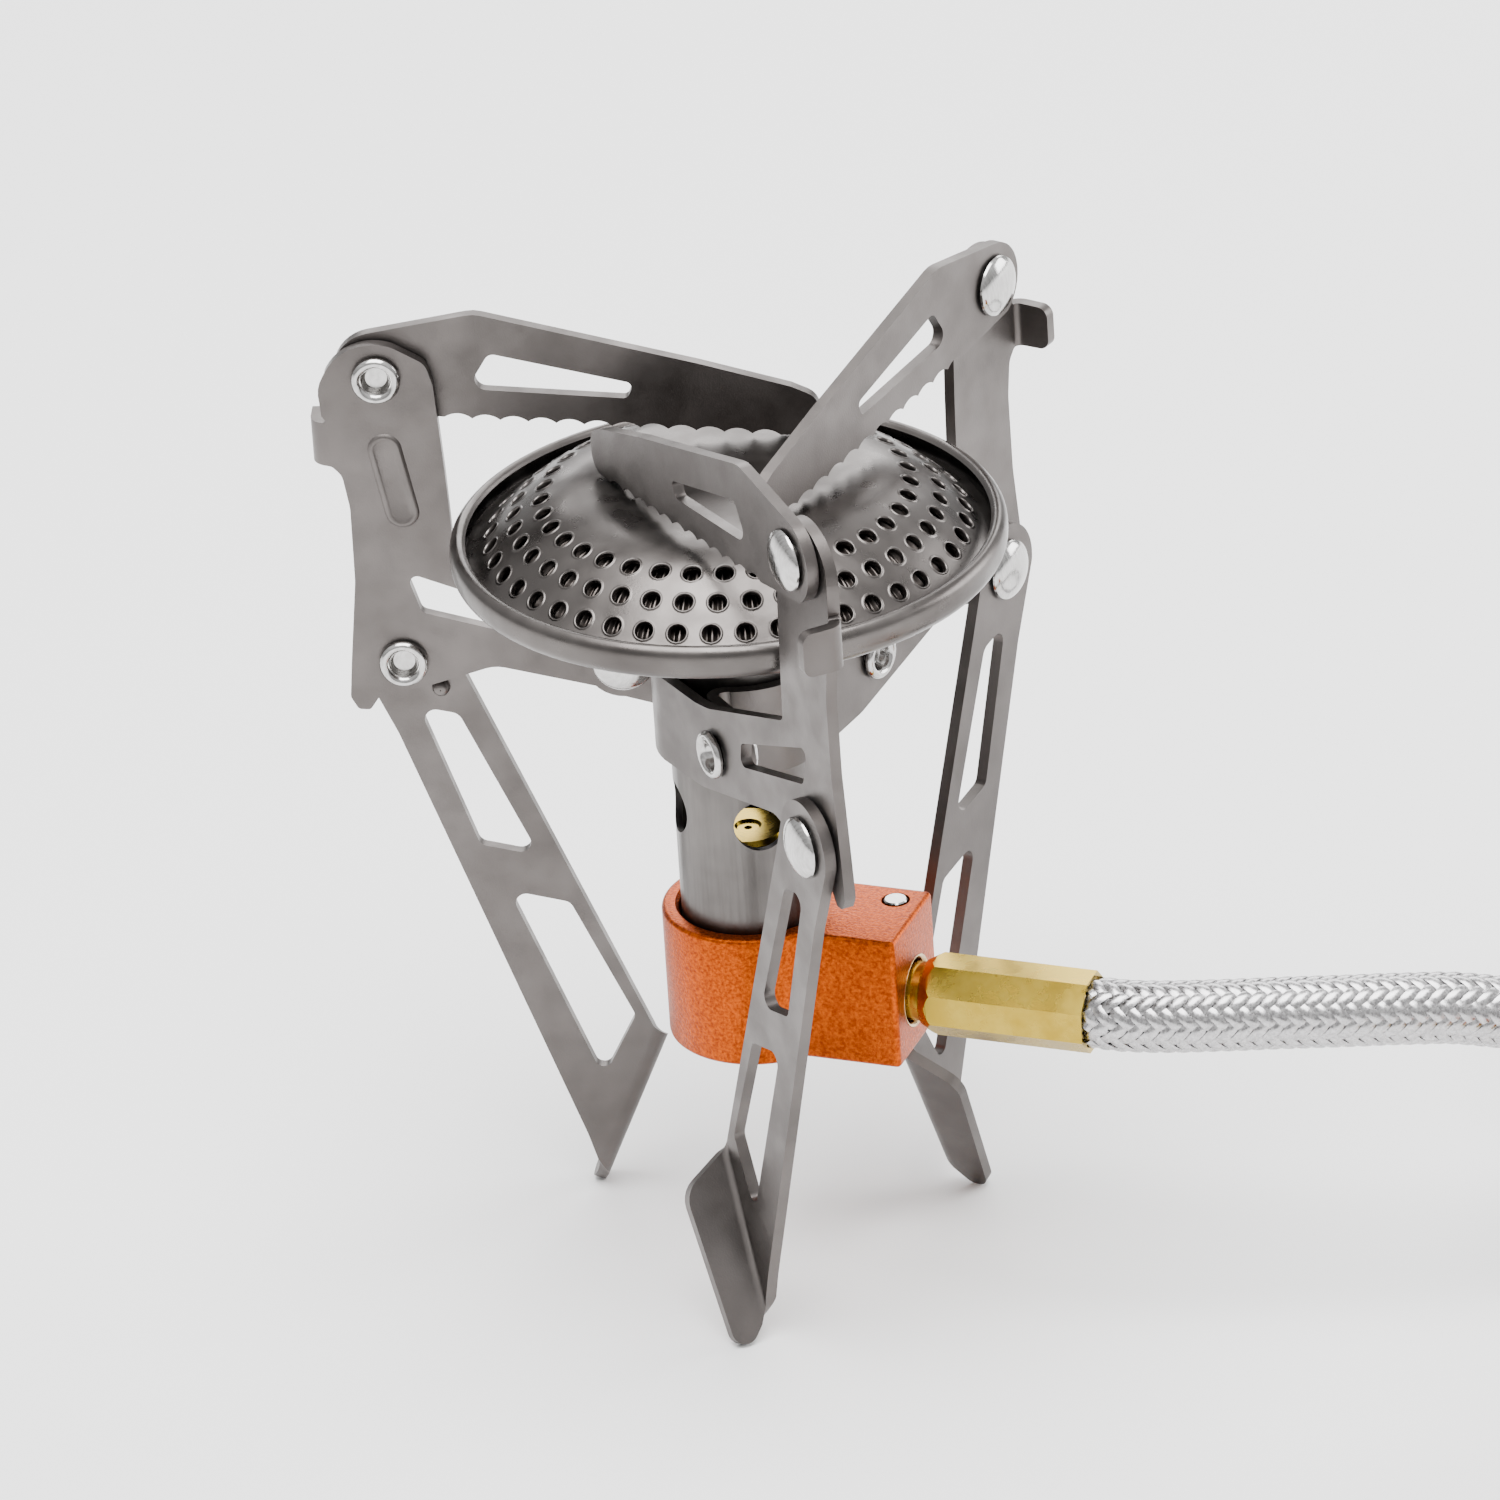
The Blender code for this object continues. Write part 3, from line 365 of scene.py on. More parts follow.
def circle(centre, radius, sides=36):
    return [
        Vector(centre) + on_circle(radius, math.tau * number / sides) for number in range(sides)
    ]


def sheet(outline, windows, near, far):
    """A flat sheet in the plane of X and Z, from y = -near to y = -far."""
    mesh = bmesh.new()
    edges = []
    for loop in [outline, *windows]:
        verts = [mesh.verts.new((s, -near, z)) for s, z in loop]
        edges += [mesh.edges.new((verts[i - 1], verts[i])) for i in range(len(verts))]
    bmesh.ops.triangle_fill(mesh, use_beauty=True, edges=edges)
    grown = bmesh.ops.extrude_face_region(mesh, geom=mesh.faces[:])
    verts = [item for item in grown["geom"] if isinstance(item, bmesh.types.BMVert)]
    bmesh.ops.translate(mesh, verts=verts, vec=(0, near - far, 0))
    return mesh


def slice_along(mesh, point, normal, distances):
    for distance in distances:
        bmesh.ops.bisect_plane(
            mesh,
            geom=mesh.verts[:] + mesh.edges[:] + mesh.faces[:],
            dist=1e-5,
            plane_co=Vector(point) + Vector(normal) * distance,
            plane_no=normal,
        )


def fold(mesh, point, along, angle, middle, segments=8):
    """Bends what lies beyond a line in the sheet away from the tube."""
    length = BEND_RADIUS * angle
    slice_along(mesh, point, along, [length * number / segments for number in range(segments + 1)])
    outward = Vector((0, -1, 0))
    for vert in mesh.verts:
        past = (vert.co - point).dot(along)
        if past <= 0:
            continue
        turned_by = angle * min(past / length, 1)
        rest = max(past - length, 0)
        offset = -(vert.co.y - middle)
        flat = (BEND_RADIUS - offset) * math.sin(turned_by) + rest * math.cos(turned_by)
        rise = BEND_RADIUS * (1 - math.cos(turned_by)) + rest * math.sin(turned_by)
        rise += offset * math.cos(turned_by) - offset
        vert.co += along * (flat - past) + outward * rise


def wrap_collar(mesh):
    """Wraps the part of a plate at s < 0 round the tube, and bends its lug back."""
    back = COLLAR_BACK - COLLAR_LENGTH
    stations = [COLLAR_LENGTH * number / 10 for number in range(11)]
    stations += [COLLAR_LENGTH + back * number / 12 for number in range(1, 13)]
    slice_along(mesh, (0, 0, 0), (-1, 0, 0), stations)
    turn_centre = -(PLATE_MIDDLE + COLLAR_BEND_RADIUS) * Vector(
        (math.sin(COLLAR_ANGLE), math.cos(COLLAR_ANGLE))
    )
    for vert in mesh.verts:
        distance = -vert.co.x
        if distance <= 0:
            continue
        offset = -vert.co.y - PLATE_MIDDLE
        if distance <= COLLAR_LENGTH:
            angle = distance / PLATE_MIDDLE
            place = -(PLATE_MIDDLE + offset) * Vector((math.sin(angle), math.cos(angle)))
        else:
            past = min(distance, COLLAR_BACK) - COLLAR_LENGTH
            angle = COLLAR_ANGLE - past / COLLAR_BEND_RADIUS
            outward = Vector((math.sin(angle), math.cos(angle)))
            place = turn_centre + (COLLAR_BEND_RADIUS - offset) * outward
            ahead = Vector((-math.cos(angle), math.sin(angle)))
            place += ahead * max(distance - COLLAR_BACK, 0)
        vert.co.x, vert.co.y = place


def turned(profile, steps=64):
    """A body turned about Z from a closed profile of (radius, z) points."""
    mesh = bmesh.new()
    rings = []
    for radius, z in profile:
        if radius < 1e-6:
            rings.append([mesh.verts.new((0, 0, z))] * steps)
            continue
        angles = [math.tau * number / steps for number in range(steps)]
        rings.append([mesh.verts.new((*on_circle(radius, angle), z)) for angle in angles])
    for ring, following in zip(rings, rings[1:] + rings[:1]):
        for number in range(steps):
            after = (number + 1) % steps
            corners = [ring[number], ring[after], following[after], following[number]]
            corners = list(dict.fromkeys(corners))
            if len(corners) > 2:
                mesh.faces.new(corners)
    return mesh


def bridge(mesh, rings):
    """Faces between each closed ring of vertices and the next."""
    for ring, following in zip(rings, rings[1:]):
        for i in range(len(ring)):
            mesh.faces.new((ring[i - 1], ring[i], following[i], following[i - 1]))


def loft(sections):
    """A closed body through sections, each a list of (x, y) points and its height."""
    mesh = bmesh.new()
    rings = [[mesh.verts.new((x, y, height)) for x, y in points] for points, height in sections]
    mesh.faces.new(rings[0])
    mesh.faces.new(rings[-1])
    bridge(mesh, rings)
    return mesh


def smooth_line(points, count=6):
    """A finer polyline through (radius, z) points, with a soft curve between them."""
    line = [Vector(point) for point in points]
    fine = []
    for index in range(len(line) - 1):
        start, end = line[index], line[index + 1]
        before = line[max(index - 1, 0)]
        after = line[min(index + 2, len(line) - 1)]
        reach = (end - start).length / 3
        handle_a = start + (end - before).normalized() * reach
        handle_b = end - (after - start).normalized() * reach
        fine += geometry.interpolate_bezier(start, handle_a, handle_b, end, count + 1)[:-1]
    fine.append(line[-1])
    return [Vector(point[:2]) for point in fine]


def shell_profile(line, thickness):
    """A closed profile: the outer line of (radius, z) points, and the same line set back."""
    inner = []
    for index, point in enumerate(line):
        before = line[max(index - 1, 0)]
        after = line[min(index + 1, len(line) - 1)]
        direction = (after - before).normalized()
        set_back = point + Vector((-direction.y, direction.x)) * thickness
        inner.append(Vector((max(set_back.x, 0), set_back.y)))
    return list(line) + inner[::-1]


def join(meshes):
    whole = bmesh.new()
    for mesh in meshes:
        bmesh.ops.recalc_face_normals(mesh, faces=mesh.faces[:])
        loose = bpy.data.meshes.new("loose")
        mesh.to_mesh(loose)
        whole.from_mesh(loose)
        bpy.data.meshes.remove(loose)
        mesh.free()
    return whole


def turn_mesh(mesh, matrix):
    bmesh.ops.transform(mesh, matrix=matrix, verts=mesh.verts[:])
    return mesh


def along_x(mesh, height=0.0):
    tilt = Matrix.Rotation(math.radians(90), 4, "Y")
    return turn_mesh(mesh, Matrix.Translation((0, 0, height)) @ tilt)


def mesh_data(name, mesh):
    data = bpy.data.meshes.new(name)
    mesh.to_mesh(data)
    mesh.free()
    return data


def make_object(name, mesh, place):
    bmesh.ops.remove_doubles(mesh, verts=mesh.verts[:], dist=1e-4)
    bmesh.ops.recalc_face_normals(mesh, faces=mesh.faces[:])
    bmesh.ops.transform(mesh, matrix=place, verts=mesh.verts[:])
    return link_object(name, mesh_data(name, mesh))


def apply_modifiers(made):
    """Makes the evaluated mesh the object's own, and leaves no modifier on it."""
    bpy.context.view_layer.update()
    graph = bpy.context.evaluated_depsgraph_get()
    data = bpy.data.meshes.new_from_object(made.evaluated_get(graph))
    made.modifiers.clear()
    made.data = data


def combine(made, place, meshes, operation="DIFFERENCE"):
    helper = make_object("helper", join(meshes), place)
    boolean = made.modifiers.new("boolean", "BOOLEAN")
    boolean.operation = operation
    boolean.solver = "EXACT"
    boolean.object = helper
    apply_modifiers(made)
    bpy.data.objects.remove(helper)


def add_bevel(made, width, sharp):
    bevel = made.modifiers.new("edges", "BEVEL")
    bevel.width = width * MM
    bevel.segments = 3
    bevel.limit_method = "ANGLE"
    bevel.angle_limit = math.radians(sharp)
    return bevel


def finish_piece(made, node, body, material, edge=0.0, sharp=35):
    """Rounds the edges, shades the piece, and puts it in the CAD node's place."""
    made.data.materials.clear()
    made.data.materials.append(material)
    if edge:
        add_bevel(made, edge, sharp).harden_normals = True
        made.data.shade_smooth()
        apply_modifiers(made)
    else:
        made.data.shade_smooth()
        made.data.set_sharp_from_angle(angle=math.radians(sharp))
    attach(made, body)
    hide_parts(node)
    return made


# ---------------------------------------------------------------- hose

# The route of the hose from the mouth of its ferrule, as in the CAD model.
HOSE_LEAD = (
    (0.3, 0.0, 0.0), (3.3, 0.0, 0.0), (7.7, 0.8, 0.0), (14.2, 2.6, -0.003), (20.4, 4.7, -0.003),
    (26.7, 6.9, 0.0), (32.7, 9.3, 0.007), (38.8, 11.9, 0.026), (48.0, 15.8, 0.11),
    (58.0, 20.0, 0.28), (67.5, 24.1, 0.48), (77.0, 28.2, 0.68), (86.5, 32.4, 0.86),
    (95.0, 36.3, 0.97),
)
HOSE_TURN_RADIUS = 44.0
HOSE_TURN_START = -66.0
HOSE_TURN = 280.0
HOSE_TURN_POINTS = 11
HOSE_TAIL = (
    (10.0, 0.0), (19.0, 0.9), (28.0, 3.7), (37.0, 7.8), (45.0, 10.4), (51.0, 11.2), (57.0, 11.2),
)
HOSE_FLOOR = HOSE_RADIUS + 0.1 - MOUTH.z / MM
BRAID_STRANDS = 12  # in each direction
BRAID_LEAD = 19.8
BRAID_WIDTH = 1.22
BRAID_STEP = 0.42
BRAID_LIFT = 0.17
BRAID_THICKNESS = 0.22


def hose_route():
    points = [Vector((x, y, share * HOSE_FLOOR)) for x, y, share in HOSE_LEAD]
    start = Vector(HOSE_LEAD[-1][:2])
    centre = start - on_circle(HOSE_TURN_RADIUS, math.radians(HOSE_TURN_START))
    for number in range(1, HOSE_TURN_POINTS + 1):
        angle = math.radians(HOSE_TURN_START + HOSE_TURN * number / HOSE_TURN_POINTS)
        points.append((centre + on_circle(HOSE_TURN_RADIUS, angle)).to_3d())
        points[-1].z = HOSE_FLOOR
    last = points[-1]
    heading = on_circle(1, math.radians(HOSE_TURN_START + HOSE_TURN + 90)).to_3d()
    for distance, height in HOSE_TAIL:
        points.append(last + heading * distance + Vector((0, 0, height)))
    return points


def smooth_route(points, step):
    """Evenly spaced points along a smooth curve through the route."""
    fine = []
    tangents = []
    for index, point in enumerate(points):
        before = points[max(index - 1, 0)]
        after = points[min(index + 1, len(points) - 1)]
        reach = (after - point).length + (point - before).length
        tangents.append((after - before) / reach)
    for index in range(len(points) - 1):
        start, end = points[index], points[index + 1]
        handle = (end - start).length / 3
        fine += geometry.interpolate_bezier(
            start, start + tangents[index] * handle, end - tangents[index + 1] * handle, end, 41
        )[:-1]
    fine.append(points[-1])
    even = [fine[0]]
    walked = 0.0
    for before, after in zip(fine, fine[1:]):
        length = (after - before).length
        while walked + length >= step * len(even):
            even.append(before.lerp(after, (step * len(even) - walked) / length))
        walked += length
    return even


def frames_along(points):
    """A point with two directions across the route at each place, carried along without twist."""
    frames = []
    side = Vector((0, 0, 1))
    for index, point in enumerate(points):
        ahead = points[min(index + 1, len(points) - 1)] - points[max(index - 1, 0)]
        ahead.normalize()
        side = (side - ahead * side.dot(ahead)).normalized()
        frames.append((point, side, ahead.cross(side)))
    return frames


def strand(mesh, frames, number, way):
    """One flat strand of the braid, which passes over two strands and under two."""
    crossing = BRAID_LEAD / (2 * BRAID_STRANDS)
    half = BRAID_WIDTH / 2
    section = (
        (-half, -BRAID_THICKNESS), (-half, -0.05), (-half * 0.5, 0.06), (0, 0.09),
        (half * 0.5, 0.06), (half, -0.05), (half, -BRAID_THICKNESS),
    )
    pitch = math.atan2(math.tau * HOSE_RADIUS, BRAID_LEAD)
    rows = []
    for index, (point, across, other) in enumerate(frames):
        travelled = index * BRAID_STEP
        angle = way * math.tau * travelled / BRAID_LEAD + math.tau * number / BRAID_STRANDS
        # Where two strands cross, the sum of their numbers says which of them lies on top.
        place_in_weave = 2 * number + way * travelled / crossing - (0.5 if way > 0 else 2.5)
        lift = BRAID_LIFT * math.tanh(2.0 * math.cos(math.tau * place_in_weave / 4))
        base = HOSE_RADIUS - 0.09 - BRAID_LIFT + lift
        ahead = across.cross(other)
        row = []
        for offset, height in section:
            turn = angle - way * offset * math.cos(pitch) / HOSE_RADIUS
            out = across * math.cos(turn) + other * math.sin(turn)
            shift = ahead * (offset * math.sin(pitch))
            row.append(mesh.verts.new(point + out * (base + height) + shift))
        rows.append(row)
    bridge(mesh, rows)
    mesh.faces.new(rows[0])
    mesh.faces.new(rows[-1])


def make_hose():
    place = Matrix.Translation(MOUTH) @ Matrix.Scale(MM, 4)
    points = smooth_route(hose_route(), BRAID_STEP)
    frames = frames_along(points)
    braid_mesh = bmesh.new()
    for way in (1, -1):
        for number in range(BRAID_STRANDS):
            strand(braid_mesh, frames, number, way)
    bmesh.ops.recalc_face_normals(braid_mesh, faces=braid_mesh.faces[:])
    bmesh.ops.transform(braid_mesh, matrix=place, verts=braid_mesh.verts[:])
    braid = link_object("hose_braid", mesh_data("hose_braid", braid_mesh))
    finish_piece(braid, "hose", "stove", BRAID, sharp=50)

    curve = bpy.data.curves.new("hose_liner", "CURVE")
    curve.dimensions = "3D"
    curve.bevel_depth = (HOSE_RADIUS - 0.5) * MM
    curve.bevel_resolution = 6
    curve.use_fill_caps = True
    curve.materials.append(LINER)
    spline = curve.splines.new("POLY")
    route = points[::6] + [points[-1]]
    spline.points.add(len(route) - 1)
    for target, point in zip(spline.points, route):
        target.co = (*(place @ point), 1.0)
    liner = link_object("hose_liner", curve)
    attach(liner, "stove")
    path = [place @ point for point in points[::4]] + [place @ points[-1]]
    length = sum((after - before).length for before, after in zip(path, path[1:]))
    return braid, liner, path, length


braid, liner, hose_path, hose_length = make_hose()
hose_end = hose_path[-1]


# ---------------------------------------------------------------- plates, arms and legs


def unit_place(angle):
    return STOVE @ Matrix.Rotation(math.radians(angle), 4, "Z")


def plate_outline():
    lug = -(COLLAR_BACK + LUG_REACH)
    inner = UPRIGHT_INNER
    low_s = LEG_PIVOT[0]
    high_s, high_z = ARM_PIVOT
    tab = TAB_START
    tab_end = tab + BEND_RADIUS * math.radians(90) + 3.3
    below = [
        (-COLLAR_BACK, -5.4, 2), (-COLLAR_LENGTH, -6.3, 2), (0, -6.3, 0),
        (9.6, -5.4, 6), (inner - 12.8, -3.1, 0), (inner - 3.9, -0.8, 4),
        (low_s - 3.05, -2.9, 3), (low_s + 3.0, -4.2, 1), (low_s + 4.1, -5.8, 0.5),
        (low_s + 5.4, -5.7, 0.6), (low_s + 6.2, -4.2, 1), (low_s + 5.8, 0, 6),
        (low_s + 4.7, 10, 12), (low_s + 4.6, 19, 6), (low_s + 5.2, high_z - 11.6, 2),
        (tab, high_z - 10.4, 1), (tab_end, high_z - 10.2, 1.2), (tab_end, high_z - 5.2, 1.2),
        (tab, high_z - 5.2, 0.8), (high_s + 6.1, high_z - 4.4, 0.6),
    ]
    top = arc((high_s + 0.25, high_z - 1.9), 6, -8, 112, 16)
    above = [
        (inner + 1.3, high_z + 1.6, 2), (inner + 0.6, high_z - 1, 1.5), (inner, 23, 8),
        (inner - 0.4, 11.9, 1), (12.1, 5.2, 10), (8.9, 4.6, 4), (0, 4.0, 0),
        (-COLLAR_LENGTH, 4.2, 2), (-COLLAR_BACK, LUG_Z + 4.4, 2),
    ]
    end = arc((lug, LUG_Z), 4.4, 90, 270, 18)
    return rounded(below + top + above + end)


def plate_windows():
    low_s = LEG_PIVOT[0]
    inner_arm = [
        (low_s - 0.9, 11.0, 0.8), (low_s - 2.4, 6.0, 1), (19.5, 1.4, 0.8), (20.0, 4.4, 0.8),
    ]
    centres = ((-(COLLAR_BACK + LUG_REACH), LUG_Z), LUG_PIVOT, LEG_PIVOT, ARM_PIVOT)
    return [rounded(inner_arm), *(circle(centre, RIVET_HOLE_RADIUS) for centre in centres)]


def stadium(first, last, radius):
    axis = (Vector(last) - Vector(first)).normalized()
    start = math.degrees(math.atan2(axis.y, axis.x)) + 90
    points = arc(first, radius, start, start + 180, 14)
    points += arc(last, radius, start + 180, start + 360, 14)
    return [Vector(point[:2]) for point in points]


def rib():
    """The pressed stiffening rib on the upright: a raised edge round a lower middle."""
    first = (ARM_PIVOT[0] - 0.35, 26.0)
    last = (ARM_PIVOT[0] - 1.75, 18.4)
    sections = []
    for radius, height in (
        (1.95, -0.05), (1.80, 0.10), (1.60, 0.24), (1.40, 0.26), (1.22, 0.18), (1.05, 0.08),
    ):
        sections.append((stadium(first, last, radius), -PLATE_NEAR + height))
    mesh = loft(sections)
    for vert in mesh.verts:
        vert.co = Vector((vert.co.x, vert.co.z, vert.co.y))
    return mesh


def make_plate(number, angle):
    mesh = sheet(plate_outline(), plate_windows(), PLATE_NEAR, PLATE_FAR)
    tab = Vector((TAB_START, -PLATE_MIDDLE, 0))
    fold(mesh, tab, Vector((1, 0, 0)), math.radians(90), -PLATE_MIDDLE)
    wrap_collar(mesh)
    made = make_object(f"plate_{number}", join([mesh, rib()]), unit_place(angle))
    node = f"support_plate_{number}"
    finish_piece(made, node, "stove", TITANIUM, 0.18, 40)


def rivet_profile(stack):
    """A domed polished head, and a tail rolled over from a hollow end."""
    head = smooth_line([(0, -1.2), (1.6, -1.08), (2.7, -0.75), (3.3, -0.35), (3.45, -0.05)], 5)
    tail = smooth_line(
        [
            (2.7, stack + 0.05), (2.68, stack + 0.4), (2.35, stack + 0.75), (1.95, stack + 0.7),
            (1.65, stack + 0.4), (1.45, stack - 0.1), (1.2, stack - 0.6),
        ], 5,
    )
    waist = [Vector((3.3, 0.02)), Vector((2.0, 0)), Vector((2.0, stack)), Vector((2.6, stack))]
    return head + waist + tail + [Vector((0.5, stack - 0.75)), Vector((0, stack - 0.55))]


def make_rivet(angle, node, near, far, pivot, head_far):
    mesh = turned(rivet_profile(far - near + 2 * GAP), 48)
    if head_far:
        place = Matrix.Translation((pivot[0], -far - GAP, pivot[1]))
        turn = Matrix.Rotation(math.radians(-90), 4, "X")
    else:
        place = Matrix.Translation((pivot[0], -near + GAP, pivot[1]))
        turn = Matrix.Rotation(math.radians(90), 4, "X")
    made = make_object(node + "_polished", mesh, unit_place(angle) @ place @ turn)
    finish_piece(made, node, "stove", STEEL, sharp=50)


LEG_BEND_TOP = Vector((-24.5, -47.3))
LEG_BEND_END = Vector((-17.2, -64.0))


def leg_outline():
    along = (LEG_BEND_END - LEG_BEND_TOP).normalized()
    away = Vector((along.y, -along.x))
    heel = LEG_BEND_TOP + along * 4.4 + away * 7.4
    toe = LEG_BEND_TOP + along * 24.8 + away * 5.6
    return rounded(
        [
            (1.4, -9.6, 8), *arc((0, 0), 5.2, -12, 168, 24), (-6.8, -3.4, 3),
            (*LEG_BEND_TOP, 0.6), (*heel, 3), (*toe, 1.6), (*LEG_BEND_END, 0.8),
            (-16.3, -60.8, 2),
        ]
    )


def leg_windows():
    upper = [(-1.0, -6.4, 1.5), (-5.4, -7.4, 1.5), (-13.2, -25.4, 1.2), (-6.7, -23.8, 1.2)]
    lower = [(-9.4, -29.6, 1.2), (-16.2, -31.3, 1.2), (-22.6, -45.8, 1.2), (-18.5, -53.6, 1)]
    return [rounded(upper), rounded(lower), circle((0, 0), RIVET_HOLE_RADIUS)]


def make_leg(number, angle):
    mesh = sheet(leg_outline(), leg_windows(), SWING_NEAR, SWING_FAR)
    middle = -(SWING_NEAR + SHEET / 2)
    along = (LEG_BEND_END - LEG_BEND_TOP).normalized()
    away = Vector((along.y, 0, -along.x))
    line = Vector((LEG_BEND_TOP.x, middle, LEG_BEND_TOP.y))
    fold(mesh, line, away, math.radians(90), middle)
    pip = turned(smooth_line([(0, 1.1), (0.5, 1.02), (0.85, 0.7), (1.0, 0.2), (1.0, -0.3)], 4), 32)
    pip_place = Matrix.Translation((-3.7, -SWING_NEAR, -4.0))
    turn_mesh(pip, pip_place @ Matrix.Rotation(math.radians(-90), 4, "X"))
    whole = turn_mesh(join([mesh, pip]), Matrix.Translation((LEG_PIVOT[0], 0, LEG_PIVOT[1])))
    made = make_object(f"folding_leg_{number}", whole, unit_place(angle))
    finish_piece(made, f"leg_{number}", f"leg_{number}", TITANIUM, 0.18, 40)


def arm_outline():
    teeth = []
    pitch, depth, count = 3.05, 0.55, 12
    for tooth in range(count, 0, -1):
        for step in range(8):
            s = -7.0 - pitch * (tooth - step / 8)
            rise = abs(math.sin(math.pi * step / 8)) ** 0.8
            teeth.append((s, -5.0 + 0.09 * s + depth * rise, 0))
    end = [(-45.0, -3.1, 1), (-48.1, -4.6, 2.2), (-47.9, -9.0, 2.4)]
    lobe = arc((0, 0), 4.8, -60, 80, 16)
    return rounded(
        teeth + [(-7.0, -5.6, 0.5)] + lobe + [(-10.9, 6.7, 4), (-35.0, 0.0, 0)] + end
    )


def arm_windows():
    taper = [(-12.3, 1.9, 1.0), (-27.9, -2.2, 0.7), (-27.2, -4.0, 0.7), (-9.7, -2.3, 1.3)]
    return [rounded(taper), circle((0, 0), RIVET_HOLE_RADIUS)]


def make_arm(number, angle):
    mesh = sheet(arm_outline(), arm_windows(), SWING_NEAR, SWING_FAR)
    turn_mesh(mesh, Matrix.Translation((ARM_PIVOT[0], 0, ARM_PIVOT[1])))
    made = make_object(f"folding_arm_{number}", mesh, unit_place(angle))
    finish_piece(made, f"pot_arm_{number}", f"arm_{number}", TITANIUM, 0.16, 40)


for number, angle in enumerate(UNIT_ANGLES, 1):
    make_plate(number, angle)
    make_leg(number, angle)
    make_arm(number, angle)
    make_rivet(angle, f"arm_rivet_{number}", PLATE_NEAR, SWING_FAR, ARM_PIVOT, True)
    make_rivet(angle, f"leg_rivet_{number}", PLATE_NEAR, SWING_FAR, LEG_PIVOT, True)
    make_rivet(angle, f"plate_rivet_{number}", LUG_NEAR, PLATE_FAR, LUG_PIVOT, False)


# ---------------------------------------------------------------- burner

DOME_LINE = (
    (0.0, 9.3), (7.0, 9.3), (15.0, 9.3), (17.0, 9.1), (20.1, 8.0), (23.2, 6.1), (25.9, 3.7),
    (27.6, 2.2), (28.7, 1.9), (28.8, 1.5),
)
PORT_ROWS = ((20.1, 36), (23.2, 40), (25.9, 44))
PORT_RADIUS = 1.0
CELL_HALF = (1.3, 1.3, 1.25)
CELL_SIDE = 6  # points along each side of a port's cell


def dome_point(radius, angle, lift):
    """A point on the dome, or above it by lift along the dome's normal."""
    line = DOME_SMOOTH
    for before, after in zip(line, line[1:]):
        if before.x <= radius <= after.x:
            share = (radius - before.x) / max(after.x - before.x, 1e-9)
            break
    else:
        before, after, share = line[-2], line[-1], 1.0
    height = before.y + (after.y - before.y) * share
    direction = (after - before).normalized()
    out = radius - direction.y * lift
    return Vector((*on_circle(out, angle), BURNER_Z + height + direction.x * lift))


DOME_SMOOTH = smooth_line(DOME_LINE, 10)


def add_ring(mesh, radius, count, lift):
    angles = [math.tau * number / count for number in range(count)]
    return [mesh.verts.new(dome_point(radius, angle, lift)) for angle in angles]


def zip_rings(mesh, inner, outer):
    """Joins two full rings of different counts with triangles."""
    i = j = 0
    while i < len(inner) or j < len(outer):
        here_i, here_j = inner[i % len(inner)], outer[j % len(outer)]
        if (i + 1) / len(inner) <= (j + 1) / len(outer) and i < len(inner) or j >= len(outer):
            mesh.faces.new((here_i, here_j, inner[(i + 1) % len(inner)]))
            i += 1
        else:
            mesh.faces.new((here_i, here_j, outer[(j + 1) % len(outer)]))
            j += 1


def add_port(mesh, radius, angle, half_radial, half_angle):
    """One cell of the dome with a punched port in it: a raised lip, a wall and an underside."""
    corners = [Vector(corner) for corner in ((1, -1), (1, 1), (-1, 1), (-1, -1))]
    border = []
    for start, end in zip(corners, corners[1:] + corners[:1]):
        for step in range(CELL_SIDE):
            spot = start.lerp(end, step / CELL_SIDE)
            border.append((spot.x * half_radial, spot.y * half_angle))
    rings = []
    step = dome_point(radius + half_radial, 0, 0) - dome_point(radius - half_radial, 0, 0)
    slope = step.x / step.length
    sizes = (
        (None, 0.0), (1.36, 0.0), (1.27, 0.0), (1.19, 0.07), (1.10, 0.10), (1.0, 0.03), (0.95, -0.12),
        (0.94, -0.45), (1.0, -SHELL), (1.36, -SHELL), (None, -SHELL),
    )
    for size, lift in sizes:
        ring = []
        for across, turn in border:
            if size:
                spot = Vector((across, turn * radius)).normalized() * size * PORT_RADIUS
                across, turn = spot.x * slope, spot.y / radius
            ring.append(mesh.verts.new(dome_point(radius + across, angle + turn, lift)))
        rings.append(ring)
    bridge(mesh, rings)


def make_gauze():
    """The pleated gauze under the dome, which shows through the ports."""
    pleats, steps, depth = 132, 6, 0.3
    mesh = bmesh.new()
    sides = []
    for under in (0.0, 0.3):
        rings = []
        for radius in (16.0, 18.5, 20.1, 21.6, 23.2, 24.6, 25.9, 27.0):
            ring = []
            for number in range(pleats * steps):
                angle = math.tau * number / (pleats * steps)
                lift = depth * math.cos(angle * pleats) - 1.4 - under
                ring.append(mesh.verts.new(dome_point(radius, angle, lift)))
            rings.append(ring)
        sides.append(rings)
    for rings in [*sides, [sides[0][0], sides[1][0]], [sides[0][-1], sides[1][-1]]]:
        bridge(mesh, rings)
    made = make_object("burner_gauze", mesh, STOVE)
    made.data.materials.append(GAUZE)
    made.data.shade_smooth()
    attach(made, "stove")


